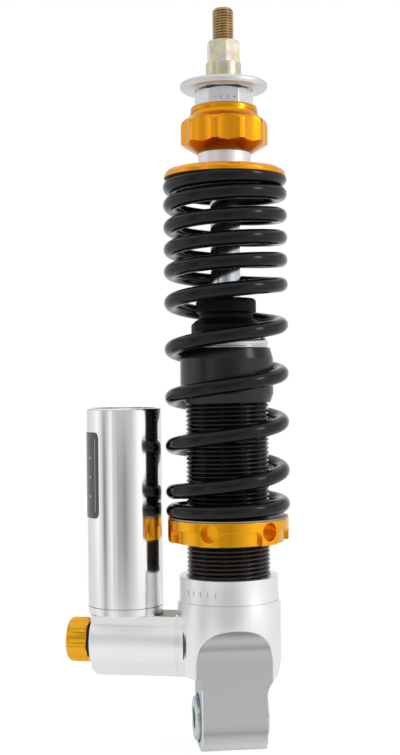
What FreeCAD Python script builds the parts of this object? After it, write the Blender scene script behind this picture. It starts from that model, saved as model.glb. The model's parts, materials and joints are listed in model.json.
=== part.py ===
"""Front coilover of a scooter: one damper with a piggyback reservoir, a screw-on spring
perch and two damping adjusters. Millimetres. The origin is the middle of the lower eye,
X runs along the eye's bolt and Z runs up the damper."""
import FreeCAD, Part
import math
import os
import re
import Sketcher
from FreeCAD import Placement, Rotation, Vector

doc = FreeCAD.newDocument("coilover")
sheet = doc.addObject("Spreadsheet::Sheet", "sizes")

# Driving sizes, in the order in which the pieces stand from the eye upwards.
SIZES = [
    # The lower eye and its bush
    ("lug_width", 30.2, "lug, face to face along the bolt"),
    ("lug_depth", 32.0, "lug, front to back"),
    ("lug_drop", 13.3, "eye centre down to the lug's flat foot"),
    ("lug_corner", 8.0, "rounding of the foot's front and back edges"),
    ("eye_bore", 23.0, "bore of the lug that the rubber is pressed into"),
    ("bolt_bore", 10.2, "bore of the bush sleeve, for an M10 bolt"),
    ("bush_diameter", 20.2, "outside of the bush sleeve"),
    ("bush_proud", 1.25, "how far the bush sleeve stands out of the lug"),
    ("bush_chamfer", 0.6, "broken edges of the bush sleeve"),
    ("rubber_inset", 0.8, "how far the rubber stays inside the lug"),
    # The lower housing
    ("housing_foot", 21.5, "eye centre up to the housing's flat underside"),
    ("housing_shoulder", 53.7, "top of the wide lower part"),
    ("housing_neck", 55.6, "foot of the narrower upper part"),
    ("housing_rim", 66.7, "top rim of the housing"),
    ("housing_diameter", 48.4, "wide lower part"),
    ("neck_diameter", 46.3, "narrower upper part"),
    ("flank_diameter", 42.0, "bevelled lower flank on the bolt side"),
    ("bevel_foot", 23.0, "foot of the flank's bevel"),
    ("bevel_head", 29.6, "head of the flank's bevel"),
    ("cove_radius", 11.0, "cove that runs from the flank into the lug"),
    ("cove_foot", 12.0, "height where the cove meets the lug"),
    ("face_top", 28.0, "height where the milled faces start to run out"),
    ("runout_radius", 21.0, "cutter radius of the run-out of the milled faces"),
    ("socket_floor", 46.0, "seat of the damper tube in the housing"),
    ("sump_floor", 30.0, "floor of the oil space under the tube"),
    ("sump_diameter", 27.0, "oil space under the tube"),
    # The block that carries the reservoir and the compression adjuster
    ("block_angle", 163.5, "direction of the block about the damper"),
    ("flat_distance", 18.1, "damper centre to the flat that the block grows from"),
    ("web_width", 16.0, "thickness of the block's web"),
    ("web_foot", 19.7, "underside of the web"),
    ("web_head", 47.9, "top of the web, where the reservoir stands"),
    ("web_reach", 64.6, "damper centre to the web's outer end"),
    ("web_chamfer_length", 2.8, "bevel of the web's lower outer corner, along it"),
    ("web_chamfer_height", 2.6, "the same bevel, upwards"),
    ("pocket_reach", 48.0, "damper centre to the end of the shallow milled pocket"),
    ("pocket_depth", 0.5, "depth of the shallow milled pocket"),
    ("pocket_cutter", 7.0, "cutter radius at the end of the pocket"),
    ("pocket_head", 26.0, "upper edge of that pocket"),
    ("barrel_diameter", 24.0, "barrel of the compression adjuster"),
    ("barrel_height", 34.5, "eye centre up to the barrel's axis"),
    ("barrel_start", 19.2, "damper centre to the barrel's inner end"),
    ("barrel_end", 65.0, "damper centre to the barrel's outer end"),
    ("barrel_bore", 15.0, "bore that holds the compression cartridge"),
    ("barrel_bore_depth", 35.0, "depth of that bore"),
    ("passage_diameter", 6.0, "oil way from the damper to the cartridge"),
    # The damper tube and what closes it
    ("tube_diameter", 39.0, "damper tube over its thread"),
    ("tube_bore", 30.0, "bore of the damper tube"),
    ("tube_chamfer", 1.0, "broken lower edge of the damper tube"),
    ("tube_top", 172.7, "top end of the damper tube"),
    ("sleeve_diameter", 43.6, "guide sleeve inside the spring"),
    ("sleeve_length", 25.4, "guide sleeve, end to end"),
    ("sleeve_end_diameter", 40.8, "guide sleeve at its bevelled ends"),
    ("sleeve_top_bevel", 4.9, "height of the upper bevel"),
    ("sleeve_foot_bevel", 4.0, "height of the lower bevel"),
    ("head_height", 4.8, "seal head above the tube"),
    ("head_foot_diameter", 39.2, "seal head where it meets the tube"),
    ("head_top_diameter", 36.6, "seal head at its top"),
    ("head_depth", 22.7, "seal head inside the tube"),
    ("seal_diameter", 22.0, "pocket for the rod seal"),
    ("seal_height", 6.0, "rod seal"),
    ("wiper_diameter", 21.0, "pocket for the rod wiper"),
    ("wiper_height", 4.5, "rod wiper"),
    ("rod_bush_diameter", 17.0, "outside of the rod bush"),
    ("rod_bush_length", 11.0, "rod bush"),
    ("bumper_diameter", 32.8, "bump stop, lower ring"),
    ("bumper_ring_height", 8.1, "bump stop, height of the lower ring"),
    ("bumper_neck_diameter", 25.0, "bump stop, groove between its rings"),
    ("bumper_top_diameter", 28.2, "bump stop, upper ring"),
    ("bumper_height", 18.5, "bump stop"),
    ("bumper_edge", 1.0, "bevels of the bump stop"),
    ("bumper_groove", 3.0, "width of the groove between its rings"),
    # The spring and its seats
    ("collar_foot", 82.7, "eye centre up to the preload collar"),
    ("collar_height", 11.0, "preload collar"),
    ("collar_diameter", 56.7, "preload collar"),
    ("collar_edge", 0.5, "broken edges of the preload collar"),
    ("recess_height", 6.2, "height of the recesses between the collar's spanner bosses"),
    ("recess_depth", 2.3, "depth of those recesses"),
    ("recess_corner", 2.6, "rounding of the recesses' upper corners"),
    ("boss_width", 9.4, "width of a spanner boss"),
    ("boss_count", 6, "spanner bosses"),
    ("boss_angle", -116.0, "direction of the first spanner boss"),
    ("spanner_hole", 8.4, "pin hole in a spanner boss"),
    ("spanner_hole_height", 6.1, "collar's foot up to the pin holes"),
    ("spanner_hole_depth", 5.0, "depth of the pin holes"),
    ("thrust_thickness", 0.6, "slip washer between collar and spring"),
    ("thrust_diameter", 56.2, "slip washer"),
    ("spring_length", 157.7, "spring as fitted"),
    ("spring_mean_diameter", 51.2, "spring, through the middle of the wire"),
    ("wire_diameter", 7.0, "spring wire"),
    ("spring_zero_angle", 172.0, "direction of the coil that the turns are counted from"),
    ("spring_first_turn", -0.15, "turn at which the wire begins"),
    ("spring_last_turn", 10.41, "turn at which the wire ends"),
    ("spring_wide_pitch", 22.6, "rise per turn of the lower, wide part"),
    ("spring_close_pitch", 10.4, "rise per turn of the upper, close part"),
    ("foot_ground", 1.65, "middle of the wire's lower end above the ground foot"),
    ("head_ground", 1.2, "middle of the wire's upper end above the ground head"),
    ("seat_flange", 4.0, "upper spring seat, thickness of its rim"),
    ("seat_diameter", 57.0, "upper spring seat"),
    ("seat_hub_diameter", 43.4, "hub of the upper seat inside the spring"),
    ("seat_hub_depth", 5.5, "how far that hub reaches down"),
    ("seat_recess_diameter", 27.0, "recess under the hub, for the circlip"),
    ("seat_recess_depth", 3.0, "depth of that recess"),
    ("seat_edge", 0.5, "broken edges of the upper seat"),
    ("notch_count", 12, "notches round the top edge of the seat"),
    ("notch_width", 5.0, "width of a notch"),
    ("notch_depth", 1.1, "depth of a notch"),
    # The rod and the piston
    ("rod_diameter", 14.0, "piston rod"),
    ("rod_bore", 4.1, "bore of the rod, for the metering rod"),
    ("spigot_diameter", 9.5, "rod end that carries the piston"),
    ("topout_height", 3.7, "rubber ring that ends the stroke"),
    ("topout_gap", 0.3, "top-out ring to the seal head"),
    ("washer_thickness", 2.0, "steel washers on the rod end"),
    ("washer_diameter", 26.0, "upper washer and the rubber ring on it"),
    ("shim_washer_diameter", 17.0, "lower washer"),
    ("shim_thickness", 0.3, "one valve shim"),
    ("shim_diameter", 26.0, "largest valve shim"),
    ("shim_step", 2.5, "how much smaller each next shim is"),
    ("piston_height", 14.0, "piston"),
    ("piston_diameter", 29.4, "piston body"),
    ("piston_port", 3.4, "port through the piston"),
    ("port_circle", 20.0, "circle that the ports lie on"),
    ("port_count", 6, "ports through the piston"),
    ("band_height", 8.0, "piston band"),
    ("band_thickness", 1.5, "piston band, wall"),
    ("nut_height", 7.0, "piston nut"),
    ("nut_flats", 14.0, "piston nut across flats"),
    # The top mount, its stud and nut
    ("mount_spigot", 20.0, "part of the top mount inside the spring seat"),
    ("mount_diameter", 24.8, "round part of the top mount"),
    ("mount_hex", 24.0, "hexagon of the top mount across flats"),
    ("mount_hex_height", 12.5, "hexagon of the top mount"),
    ("mount_hex_bevel", 2.2, "height of the bevel on the hexagon's corners"),
    ("mount_hex_angle", -8.0, "how far the hexagon is turned about the damper"),
    ("hex_in_knob", 5.7, "part of the hexagon inside the rebound knob"),
    ("mount_cavity", 12.0, "space inside the top mount for the metering rod's head"),
    ("rod_socket", 12.0, "top mount's shoulder up to the end of the rod"),
    ("stud_diameter", 10.0, "top stud, M10"),
    ("stud_length", 50.2, "top stud, end to end"),
    ("stud_hold", 10.5, "part of the stud inside the hexagon"),
    ("stud_chamfer", 0.9, "broken end of the stud"),
    ("thread_flank", 0.4, "depth of the stud's thread down to where a nut's thread carries"),
    ("stud_relief", 0.5, "sleeve nut up to the stud's free thread"),
    ("cup_diameter", 41.0, "cup washer"),
    ("cup_thickness", 3.5, "cup washer"),
    ("cup_rounding", 1.5, "rounding of the cup washer's rim"),
    ("cup_recess", 0.5, "depth to which the sleeve nut's foot is let into the cup washer"),
    ("nut_collar_diameter", 16.7, "round foot of the sleeve nut"),
    ("nut_collar_height", 8.9, "round foot of the sleeve nut"),
    ("nut_hex", 14.0, "sleeve nut across flats"),
    ("nut_hex_height", 10.6, "hexagon of the sleeve nut"),
    ("nut_hex_bevel", 1.2, "height of the bevel on the sleeve nut's corners"),
    ("nut_hex_angle", 32.0, "how far the sleeve nut is turned"),
    # The rebound adjuster
    ("knob_lift", 6.6, "top mount's shoulder up to the rebound knob"),
    ("knob_diameter", 40.8, "rebound knob over its lands"),
    ("knob_foot_diameter", 26.2, "rebound knob at its foot"),
    ("knob_cone_height", 4.6, "bevelled foot of the rebound knob"),
    ("knob_band_height", 9.2, "gripped band of the rebound knob"),
    ("knob_shoulder_radius", 3.4, "rounded shoulder above the band"),
    ("knob_flare_radius", 4.6, "hollow between shoulder and collar"),
    ("knob_collar_diameter", 31.6, "collar of the rebound knob"),
    ("knob_height", 24.1, "rebound knob"),
    ("knob_rounding", 1.2, "rounded top edge of the collar"),
    ("knob_thread", 28.6, "threaded bore of the rebound knob"),
    ("knob_lip_height", 7.5, "plain lip under that bore"),
    ("scallop_count", 10, "finger scallops of the rebound knob"),
    ("scallop_radius", 16.0, "cutter radius of a scallop"),
    ("scallop_depth", 1.4, "depth of a scallop"),
    ("scallop_angle", -92.5, "direction of the scallop nearest the front"),
    ("snap_wire", 1.2, "wire of the knob's snap ring"),
    ("knob_groove_height", 1.9, "knob's foot up to its snap ring"),
    ("knob_click_height", 5.2, "knob's foot up to its click ball"),
    ("pin_diameter", 3.0, "cross pin of the rebound adjuster"),
    ("pin_height", 18.0, "top mount's shoulder up to the cross pin"),
    ("adjuster_travel", 0.9, "travel of the cross pin, each way"),
    ("adjuster_ring_height", 6.0, "threaded ring that carries the cross pin"),
    ("needle_diameter", 4.0, "metering rod inside the piston rod"),
    ("needle_tip", 3.0, "length of the metering rod's point"),
    ("needle_head", 8.0, "head of the metering rod, across and high"),
    ("ball_diameter", 2.4, "click balls of both adjusters"),
    ("ball_set", 0.5, "how far the middle of a click ball lies under its face"),
    ("click_depth", 4.2, "depth of the holes for click ball and spring"),
    # The reservoir
    ("reservoir_offset", 49.5, "damper centre to the reservoir's centre"),
    ("reservoir_diameter", 36.0, "reservoir tube"),
    ("reservoir_bore", 30.0, "bore of the reservoir tube"),
    ("reservoir_seam", 52.0, "height of the joint between base and tube"),
    ("reservoir_top", 145.1, "top rim of the reservoir tube"),
    ("reservoir_rounding", 1.0, "rounded top edge"),
    ("base_bevel_width", 1.7, "bevel of the reservoir base, inwards"),
    ("base_bevel_height", 2.0, "bevel of the reservoir base, upwards"),
    ("base_spigot", 12.0, "spigot that screws the reservoir to the block"),
    ("base_spigot_length", 5.4, "length of that spigot"),
    ("base_neck", 6.0, "part of the base inside the reservoir tube"),
    ("cap_inset", 2.6, "end cap below the top rim"),
    ("cap_height", 9.0, "end cap of the reservoir"),
    ("valve_diameter", 8.0, "gas valve in the end cap"),
    ("valve_lip", 1.2, "hexagonal head of the gas valve"),
    ("circlip_thickness", 1.2, "circlips of reservoir and spring seat"),
    ("clip_groove", 0.6, "depth of the circlips' grooves"),
    ("clip_width", 1.8, "how far a circlip stands out of its groove"),
    ("clip_turn", 330.0, "how far round a circlip or snap ring reaches, in degrees"),
    ("floater_foot", 84.0, "eye centre up to the floating piston"),
    ("floater_height", 14.0, "floating piston"),
    ("floater_cup", 22.0, "hollow in the top of the floating piston"),
    ("floater_floor", 4.0, "floor of that hollow"),
    ("ring_wire", 2.4, "section of the rubber rings"),
    # The compression adjuster
    ("cartridge_flange", 16.4, "flange of the compression cartridge"),
    ("cartridge_flange_length", 2.9, "that flange outside the barrel"),
    ("cartridge_setback", 3.0, "cartridge's nose to the floor of the barrel's bore"),
    ("nose_thickness", 3.0, "wall at the cartridge's nose"),
    ("gland_length", 8.0, "solid outer end of the cartridge inside the barrel"),
    ("waist_diameter", 10.4, "waist of the cartridge, which lets the oil up to the reservoir"),
    ("waist_foot", 2.5, "chamber's floor to the waist's beginning"),
    ("waist_length", 15.0, "length of the waist"),
    ("oil_hole", 3.0, "cross hole through the waist"),
    ("orifice_diameter", 3.2, "orifice in the cartridge's nose"),
    ("chamber_diameter", 7.2, "bore in which the needle slides"),
    ("stem_diameter", 6.0, "stem of the adjuster screw"),
    ("screw_collar", 1.2, "collar that keeps the adjuster screw in"),
    ("tail_diameter", 3.0, "threaded tail of the needle"),
    ("tail_length", 8.4, "threaded tail of the needle"),
    ("needle_gap", 0.6, "room for the needle's travel, each way"),
    ("needle_cone", 3.3, "pointed end of the needle"),
    ("dial_diameter", 21.5, "compression knob"),
    ("dial_length", 10.4, "compression knob"),
    ("dial_gap", 1.9, "compression knob to the barrel's end"),
    ("dial_rounding", 3.2, "rounding of the knob's outer end"),
    ("dial_edge", 0.5, "broken inner edge of the knob"),
    ("dial_wall", 1.8, "end wall of the knob over its stem"),
    ("dial_click_radius", 5.6, "middle of the stem to the click ball"),
    ("dial_scallop_count", 12, "scallops of the compression knob"),
    ("dial_scallop_radius", 8.0, "cutter radius of its scallops"),
    ("dial_scallop_depth", 0.7, "depth of its scallops"),
    # Clearances
    ("running", 0.05, "running clearance of shafts and threads, on the radius"),
    ("loose", 0.3, "clearance of parts that only pass each other"),
]

for row, (alias, value, note) in enumerate(SIZES, start=1):
    sheet.set("A%d" % row, note)
    sheet.set("B%d" % row, str(value))
    sheet.setAlias("B%d" % row, alias)
doc.recompute()
NAMES = {alias for alias, value, note in SIZES}

# Heights and lengths that follow from the sizes above.
COLLAR_HEAD = "(collar_foot + collar_height)"
SPRING_FOOT = "(collar_foot + collar_height + thrust_thickness)"
SEAT_FOOT = "(collar_foot + collar_height + thrust_thickness + spring_length)"
SHOULDER = "(%s + seat_flange)" % SEAT_FOOT
KNOB_FOOT = "(%s + knob_lift)" % SHOULDER
LIP_HEAD = "(%s + knob_lip_height)" % KNOB_FOOT
HEX_FOOT = "(%s + knob_height - hex_in_knob)" % KNOB_FOOT
HEX_HEAD = "(%s + mount_hex_height)" % HEX_FOOT
CUP_HEAD = "(%s + cup_thickness)" % HEX_HEAD
NUT_COLLAR_HEAD = "(%s + nut_collar_height)" % CUP_HEAD
NUT_HEAD = "(%s + nut_hex_height)" % NUT_COLLAR_HEAD
STUD_FOOT = "(%s - stud_hold)" % HEX_HEAD
ENGAGED = "(stud_diameter / 2 - thread_flank)"
CUP_FLOOR = "(%s - cup_recess)" % CUP_HEAD
PIN = "(%s + pin_height)" % SHOULDER
ROD_HEAD = "(%s + rod_socket)" % SHOULDER
HEAD_TOP = "(tube_top + head_height)"
HEAD_FOOT = "(tube_top - head_depth)"
ROD_SHOULDER = "(%s - topout_gap - topout_height)" % HEAD_FOOT
SHIMS_HEAD = "(%s - washer_thickness)" % ROD_SHOULDER
SHIM_COUNT = 4
PISTON_HEAD = "(%s - %d * shim_thickness)" % (SHIMS_HEAD, SHIM_COUNT)
PISTON_FOOT = "(%s - piston_height)" % PISTON_HEAD
NUT_WASHER_HEAD = "(%s - %d * shim_thickness)" % (PISTON_FOOT, SHIM_COUNT)
NUT_TOP = "(%s - washer_thickness)" % NUT_WASHER_HEAD
NUT_FOOT = "(%s - nut_height)" % NUT_TOP
ROD_FOOT = "(%s - spigot_diameter / 4)" % NUT_FOOT
CAP_HEAD = "(reservoir_top - cap_inset)"
CAP_FOOT = "(%s - cap_height)" % CAP_HEAD
DIAL_FOOT = "(barrel_end + dial_gap)"
FLANGE_HEAD = "(barrel_end + cartridge_flange_length)"


def bound(formula):
    """The formula with each size written as a cell of the sheet."""
    return re.sub(r"[a-z_]+", lambda word: "sizes." * (word.group() in NAMES) + word.group(), formula)


def number(formula):
    """The value of a formula, for a shape's first drawing."""
    return float(sheet.evalExpression(bound(formula)))


def bind(thing, prop, formula):
    """Ties a property of an object to the sheet."""
    thing.setExpression(prop, bound(formula))


def new_body(label):
    """An empty body, one for each turned or milled piece."""
    body = doc.addObject("PartDesign::Body", label)
    body.Label = label
    return body


def arc_between(start, end, radius, side):
    """The short arc from start to end with its centre on the left (+1) or right (-1). The
    sketcher keeps its arcs anticlockwise, so one with its centre on the right is turned round."""
    chord = end - start
    across = Vector(-chord.y, chord.x, 0).normalize() * side
    rise = math.sqrt(max(radius**2 - (chord.Length / 2)**2, 0))
    centre = (start + end) * 0.5 + across * rise
    first, last = (start, end) if side > 0 else (end, start)
    angles = [math.atan2(point.y - centre.y, point.x - centre.x) for point in (first, last)]
    if angles[1] < angles[0]:
        angles[1] += 2 * math.pi
    return Part.ArcOfCircle(Part.Circle(centre, Vector(0, 0, 1), radius), *angles)


def draw(sketch, outline):
    """Draws one closed outline. Each corner is (x, y), or (x, y, radius, side) where an
    arc leads to it, and all of these are formulas tied to the sheet."""
    points = [Vector(number(corner[0]), number(corner[1]), 0) for corner in outline]
    edges = []
    for place, corner in enumerate(outline):
        start, end = points[place - 1], points[place]
        if len(corner) == 4:
            edges.append(arc_between(start, end, number(corner[2]), corner[3]))
        else:
            edges.append(Part.LineSegment(start, end))
    first = sketch.GeometryCount
    sketch.addGeometry(edges, False)
    backward = [len(corner) == 4 and corner[3] < 0 for corner in outline]
    rules = []
    formulas = []
    for place, corner in enumerate(outline):
        here = first + place
        after = (place + 1) % len(outline)
        tip = 1 if backward[place] else 2
        rules.append(Sketcher.Constraint("Coincident", here, tip, first + after, 2 if backward[after] else 1))
        formulas.append(None)
        for kind, formula in (("DistanceX", corner[0]), ("DistanceY", corner[1])):
            rules.append(Sketcher.Constraint(kind, -1, 1, here, tip, number(formula)))
            formulas.append(formula)
        if len(corner) == 4:
            rules.append(Sketcher.Constraint("Radius", here, number(corner[2])))
            formulas.append(corner[2])
    places = sketch.addConstraint(rules)
    for place, formula in zip(places, formulas):
        if formula:
            bind(sketch, "Constraints[%d]" % place, formula)


def ring(sketch, x, y, diameter):
    """Draws one circle whose centre and diameter are tied to the sheet."""
    circle = Part.Circle(Vector(number(x), number(y), 0), Vector(0, 0, 1), number(diameter) / 2)
    here = sketch.addGeometry(circle, False)
    for kind, value in (("DistanceX", x), ("DistanceY", y)):
        index = sketch.addConstraint(Sketcher.Constraint(kind, -1, 1, here, 3, number(value)))
        bind(sketch, "Constraints[%d]" % index, value)
    index = sketch.addConstraint(Sketcher.Constraint("Diameter", here, number(diameter)))
    bind(sketch, "Constraints[%d]" % index, diameter)


def new_sketch(body, role, offset=None):
    """An empty sketch on one of the body's origin planes, moved and turned by formulas."""
    sketch = body.newObject("Sketcher::SketchObject", body.Name + "_sketch")
    plane = next(item for item in body.Origin.OriginFeatures if item.Role == role)
    sketch.AttachmentSupport = (plane, [""])
    sketch.MapMode = "FlatFace"
    if offset:
        bind(sketch, "AttachmentOffset", offset)
    doc.recompute()
    return sketch


def level(height, angle="0"):
    """Offset of a level sketch: its height, and how far it is turned about Z."""
    return "placement(vector(0; 0; %s); rotation(%s; 0; 0))" % (height, angle)


def upright(angle, distance="0"):
    """Offset of an upright sketch that is turned about Z and then moved along its normal."""
    return "placement(vector((%s) * sin(%s); 0; (%s) * cos(%s)); rotation(0; %s; 0))" % (
        distance, angle, distance, angle, angle)


def turned(body, outline, groove=False, angle=None):
    """Turns an outline of (radius, height) corners about the body's own Z axis."""
    sketch = new_sketch(body, "XZ_Plane")
    draw(sketch, outline)
    kind = "PartDesign::Groove" if groove else "PartDesign::Revolution"
    feature = body.newObject(kind, body.Name + "_turn")
    feature.Profile = sketch
    feature.ReferenceAxis = (sketch, ["V_Axis"])
    feature.Angle = 360
    if angle:
        bind(feature, "Angle", angle)
    return finish(body, feature, groove)


def finish(body, feature, cuts):
    """Recomputes a feature and makes sure that a cut has taken something away."""
    before = feature.BaseFeature.Shape.Volume if cuts and feature.BaseFeature else 0
    body.Tip = feature
    doc.recompute()
    if cuts and not feature.Shape.Volume < before - 1e-6:
        raise RuntimeError("%s cuts nothing" % feature.Label)
    return feature


def padded(body, sketch, length, midplane=False, back=False):
    """A pad of the sketch: along its normal, against it, or to both sides."""
    feature = body.newObject("PartDesign::Pad", body.Name + "_pad")
    feature.Profile = sketch
    bind(feature, "Length", length)
    feature.Midplane = midplane
    feature.Reversed = back
    return finish(body, feature, False)


def pocketed(body, sketch, length, midplane=False, forward=False):
    """A pocket of the sketch: against its normal, along it, or to both sides."""
    feature = body.newObject("PartDesign::Pocket", body.Name + "_pocket")
    feature.Profile = sketch
    bind(feature, "Length", length)
    feature.Midplane = midplane
    feature.Reversed = forward
    return finish(body, feature, True)


def repeated(body, features, count):
    """Repeats features evenly about the body's Z axis."""
    pattern = body.newObject("PartDesign::PolarPattern", body.Name + "_pattern")
    pattern.Originals = features
    axis = next(item for item in body.Origin.OriginFeatures if item.Role == "Z_Axis")
    pattern.Axis = (axis, [""])
    pattern.Angle = 360
    bind(pattern, "Occurrences", count)
    body.Tip = pattern
    doc.recompute()
    return pattern


def hexagon(flats):
    """Corners of a hexagon that has flats at the front and back."""
    half = "(%s) / 2" % flats
    corner = "(%s) / sqrt(3)" % flats
    return [(corner, "0"), ("%s / 2" % corner, half), ("0 - %s / 2" % corner, half), ("0 - " + corner, "0"),
            ("0 - %s / 2" % corner, "0 - " + half), ("%s / 2" % corner, "0 - " + half)]


def at_reservoir(piece, height="0"):
    """Stands a piece on the reservoir's axis."""
    bind(piece, "Placement", "placement(vector(reservoir_offset * cos(block_angle);"
         " reservoir_offset * sin(block_angle); %s); rotation(block_angle; 0; 0))" % height)


def at_barrel(piece, distance="0", drop="0"):
    """Lays a piece along the compression adjuster: its own Z axis points away from the damper."""
    bind(piece, "Placement", "placement(vector((%s) * cos(block_angle); (%s) * sin(block_angle);"
         " barrel_height - (%s)); rotation(block_angle; 90; 0))" % (distance, distance, drop))


def tube(label, inner, outer, foot, head):
    """A plain ring or tube, from its two diameters and its ends."""
    body = new_body(label)
    turned(body, [("(%s) / 2" % inner, foot), ("(%s) / 2" % outer, foot),
                  ("(%s) / 2" % outer, head), ("(%s) / 2" % inner, head)])
    return body


def rubber_ring(label, mean_radius, height, wire="ring_wire"):
    """An O-ring round the damper's axis."""
    ring_shape = doc.addObject("Part::Torus", label)
    ring_shape.Label = label
    bind(ring_shape, "Radius1", mean_radius)
    bind(ring_shape, "Radius2", "(%s) / 2" % wire)
    bind(ring_shape, "Placement", "placement(vector(0; 0; %s); rotation(0; 0; 0))" % height)
    return ring_shape


def disc_stack(label, inner, discs):
    """Flat discs one on the other: (outer diameter, foot, head) for each."""
    pieces = []
    for place, (outer, foot, head) in enumerate(discs):
        disc = doc.addObject("Part::Cylinder", "%s_disc_%d" % (label, place))
        hole = doc.addObject("Part::Cylinder", "%s_hole_%d" % (label, place))
        for cylinder, diameter in ((disc, outer), (hole, inner)):
            bind(cylinder, "Radius", "(%s) / 2" % diameter)
            bind(cylinder, "Height", "%s - %s" % (head, foot))
            bind(cylinder, "Placement", "placement(vector(0; 0; %s); rotation(0; 0; 0))" % foot)
        cut = doc.addObject("Part::Cut", "%s_shim_%d" % (label, place))
        cut.Base = disc
        cut.Tool = hole
        pieces.append(cut)
    stack = doc.addObject("Part::Compound", label)
    stack.Label = label
    stack.Links = pieces
    return stack


parts = []

# Bush sleeve: a zinc-plated steel tube that the fork's bolt clamps by its end faces.
bush_sleeve = new_body("bush_sleeve")
BUSH_END = "(lug_width / 2 + bush_proud)"
turned(bush_sleeve, [
    ("bolt_bore / 2", "0 - " + BUSH_END),
    ("bush_diameter / 2 - bush_chamfer", "0 - " + BUSH_END),
    ("bush_diameter / 2", "bush_chamfer - " + BUSH_END),
    ("bush_diameter / 2", BUSH_END + " - bush_chamfer"),
    ("bush_diameter / 2 - bush_chamfer", BUSH_END),
    ("bolt_bore / 2", BUSH_END)])
bush_sleeve.Placement = Placement(Vector(), Rotation(Vector(0, 1, 0), 90))
parts.append(bush_sleeve)

# Bush rubber: pressed into the lug, it lets the sleeve twist a few degrees.
bush_rubber = tube("bush_rubber", "bush_diameter + 2 * running", "eye_bore",
                   "rubber_inset - lug_width / 2", "lug_width / 2 - rubber_inset")
bush_rubber.Placement = Placement(Vector(), Rotation(Vector(0, 1, 0), 90))
parts.append(bush_rubber)

def filleted(body, test, radius):
    """Rounds the edges whose two ends pass a test."""
    base = body.Tip
    names = []
    for place, edge in enumerate(base.Shape.Edges, start=1):
        if len(edge.Vertexes) == 2 and test(edge.Vertexes[0].Point, edge.Vertexes[1].Point):
            names.append("Edge%d" % place)
    feature = body.newObject("PartDesign::Fillet", body.Name + "_fillet")
    feature.Base = (base, names)
    bind(feature, "Radius", radius)
    return finish(body, feature, False)


def foot_edge(start, end):
    """True for the two long edges of the lug's foot that face front and back."""
    foot = number("0 - lug_drop")
    level_edge = abs(start.z - foot) < 1e-3 and abs(end.z - foot) < 1e-3
    return level_edge and abs(start.y - end.y) < 1e-3 and abs(start.x - end.x) > 1


# Lower housing: one milled forging with the lug, the tube's socket, the block that carries
# the reservoir, and the barrel of the compression adjuster.
housing = new_body("lower_housing")
turned(housing, [
    ("0", "0 - lug_drop"),
    ("housing_diameter / 2", "0 - lug_drop"),
    ("housing_diameter / 2", "housing_shoulder"),
    ("neck_diameter / 2", "housing_neck"),
    ("neck_diameter / 2", "housing_rim"),
    ("0", "housing_rim")])
PAST_HOUSING = "(housing_diameter / 2 + 1)"
BELOW_LUG = "(0 - lug_drop - 1)"

# Front and back are milled to the lug's depth, with a round run-out above.
RUNOUT = "(face_top + sqrt(runout_radius^2 - (lug_depth / 2 + runout_radius - housing_diameter / 2)^2))"
faces = new_sketch(housing, "YZ_Plane")
for sign, side in (("", 1), ("0 - ", -1)):
    draw(faces, [
        (sign + "lug_depth / 2", "face_top", "runout_radius", side),
        (sign + "lug_depth / 2", BELOW_LUG),
        (sign + PAST_HOUSING, BELOW_LUG),
        (sign + PAST_HOUSING, RUNOUT),
        (sign + "housing_diameter / 2", RUNOUT)])
pocketed(housing, faces, "2 * " + PAST_HOUSING, midplane=True)

# The bolt side has a bevel and a cove down into the lug, the block's side a square step.
COVE_HEAD = "(cove_foot + sqrt(cove_radius^2 - (lug_width / 2 + cove_radius - flank_diameter / 2)^2))"
flanks = new_sketch(housing, "XZ_Plane")
draw(flanks, [
    ("lug_width / 2", BELOW_LUG),
    ("lug_width / 2", "cove_foot"),
    ("flank_diameter / 2", COVE_HEAD, "cove_radius", -1),
    ("flank_diameter / 2", "bevel_foot"),
    ("housing_diameter / 2", "bevel_head"),
    (PAST_HOUSING, "bevel_head"),
    (PAST_HOUSING, BELOW_LUG)])
draw(flanks, [
    ("0 - lug_width / 2", BELOW_LUG),
    ("0 - lug_width / 2", "housing_foot"),
    ("0 - " + PAST_HOUSING, "housing_foot"),
    ("0 - " + PAST_HOUSING, BELOW_LUG)])
pocketed(housing, flanks, "2 * " + PAST_HOUSING, midplane=True)

# The front and back edges of the lug's foot are rounded.
filleted(housing, foot_edge, "lug_corner")

# A flat on the cylinder, square to the block, from which the web grows.
flat = new_sketch(housing, "XY_Plane", level("web_head", "block_angle"))
draw(flat, [
    ("flat_distance", "0 - " + PAST_HOUSING),
    (PAST_HOUSING, "0 - " + PAST_HOUSING),
    (PAST_HOUSING, PAST_HOUSING),
    ("flat_distance", PAST_HOUSING)])
pocketed(housing, flat, "web_head - " + BELOW_LUG)

web = new_sketch(housing, "XZ_Plane", upright("block_angle"))
draw(web, [
    ("flat_distance - 4", "web_foot + 4"),
    ("flat_distance", "web_foot"),
    ("web_reach - web_chamfer_length", "web_foot"),
    ("web_reach", "web_foot + web_chamfer_height"),
    ("web_reach", "web_head"),
    ("flat_distance - 4", "web_head")])
padded(housing, web, "web_width", midplane=True)

# A shallow milled pocket on the web's front face, under the barrel.
pocket = new_sketch(housing, "XZ_Plane", upright("block_angle", "0 - web_width / 2"))
draw(pocket, [
    ("flat_distance", "web_foot - 1"),
    ("pocket_reach", "web_foot - 1"),
    ("pocket_reach", "pocket_head - pocket_cutter"),
    ("pocket_reach - pocket_cutter", "pocket_head", "pocket_cutter", 1),
    ("flat_distance", "pocket_head")])
pocketed(housing, pocket, "pocket_depth", forward=True)

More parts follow.
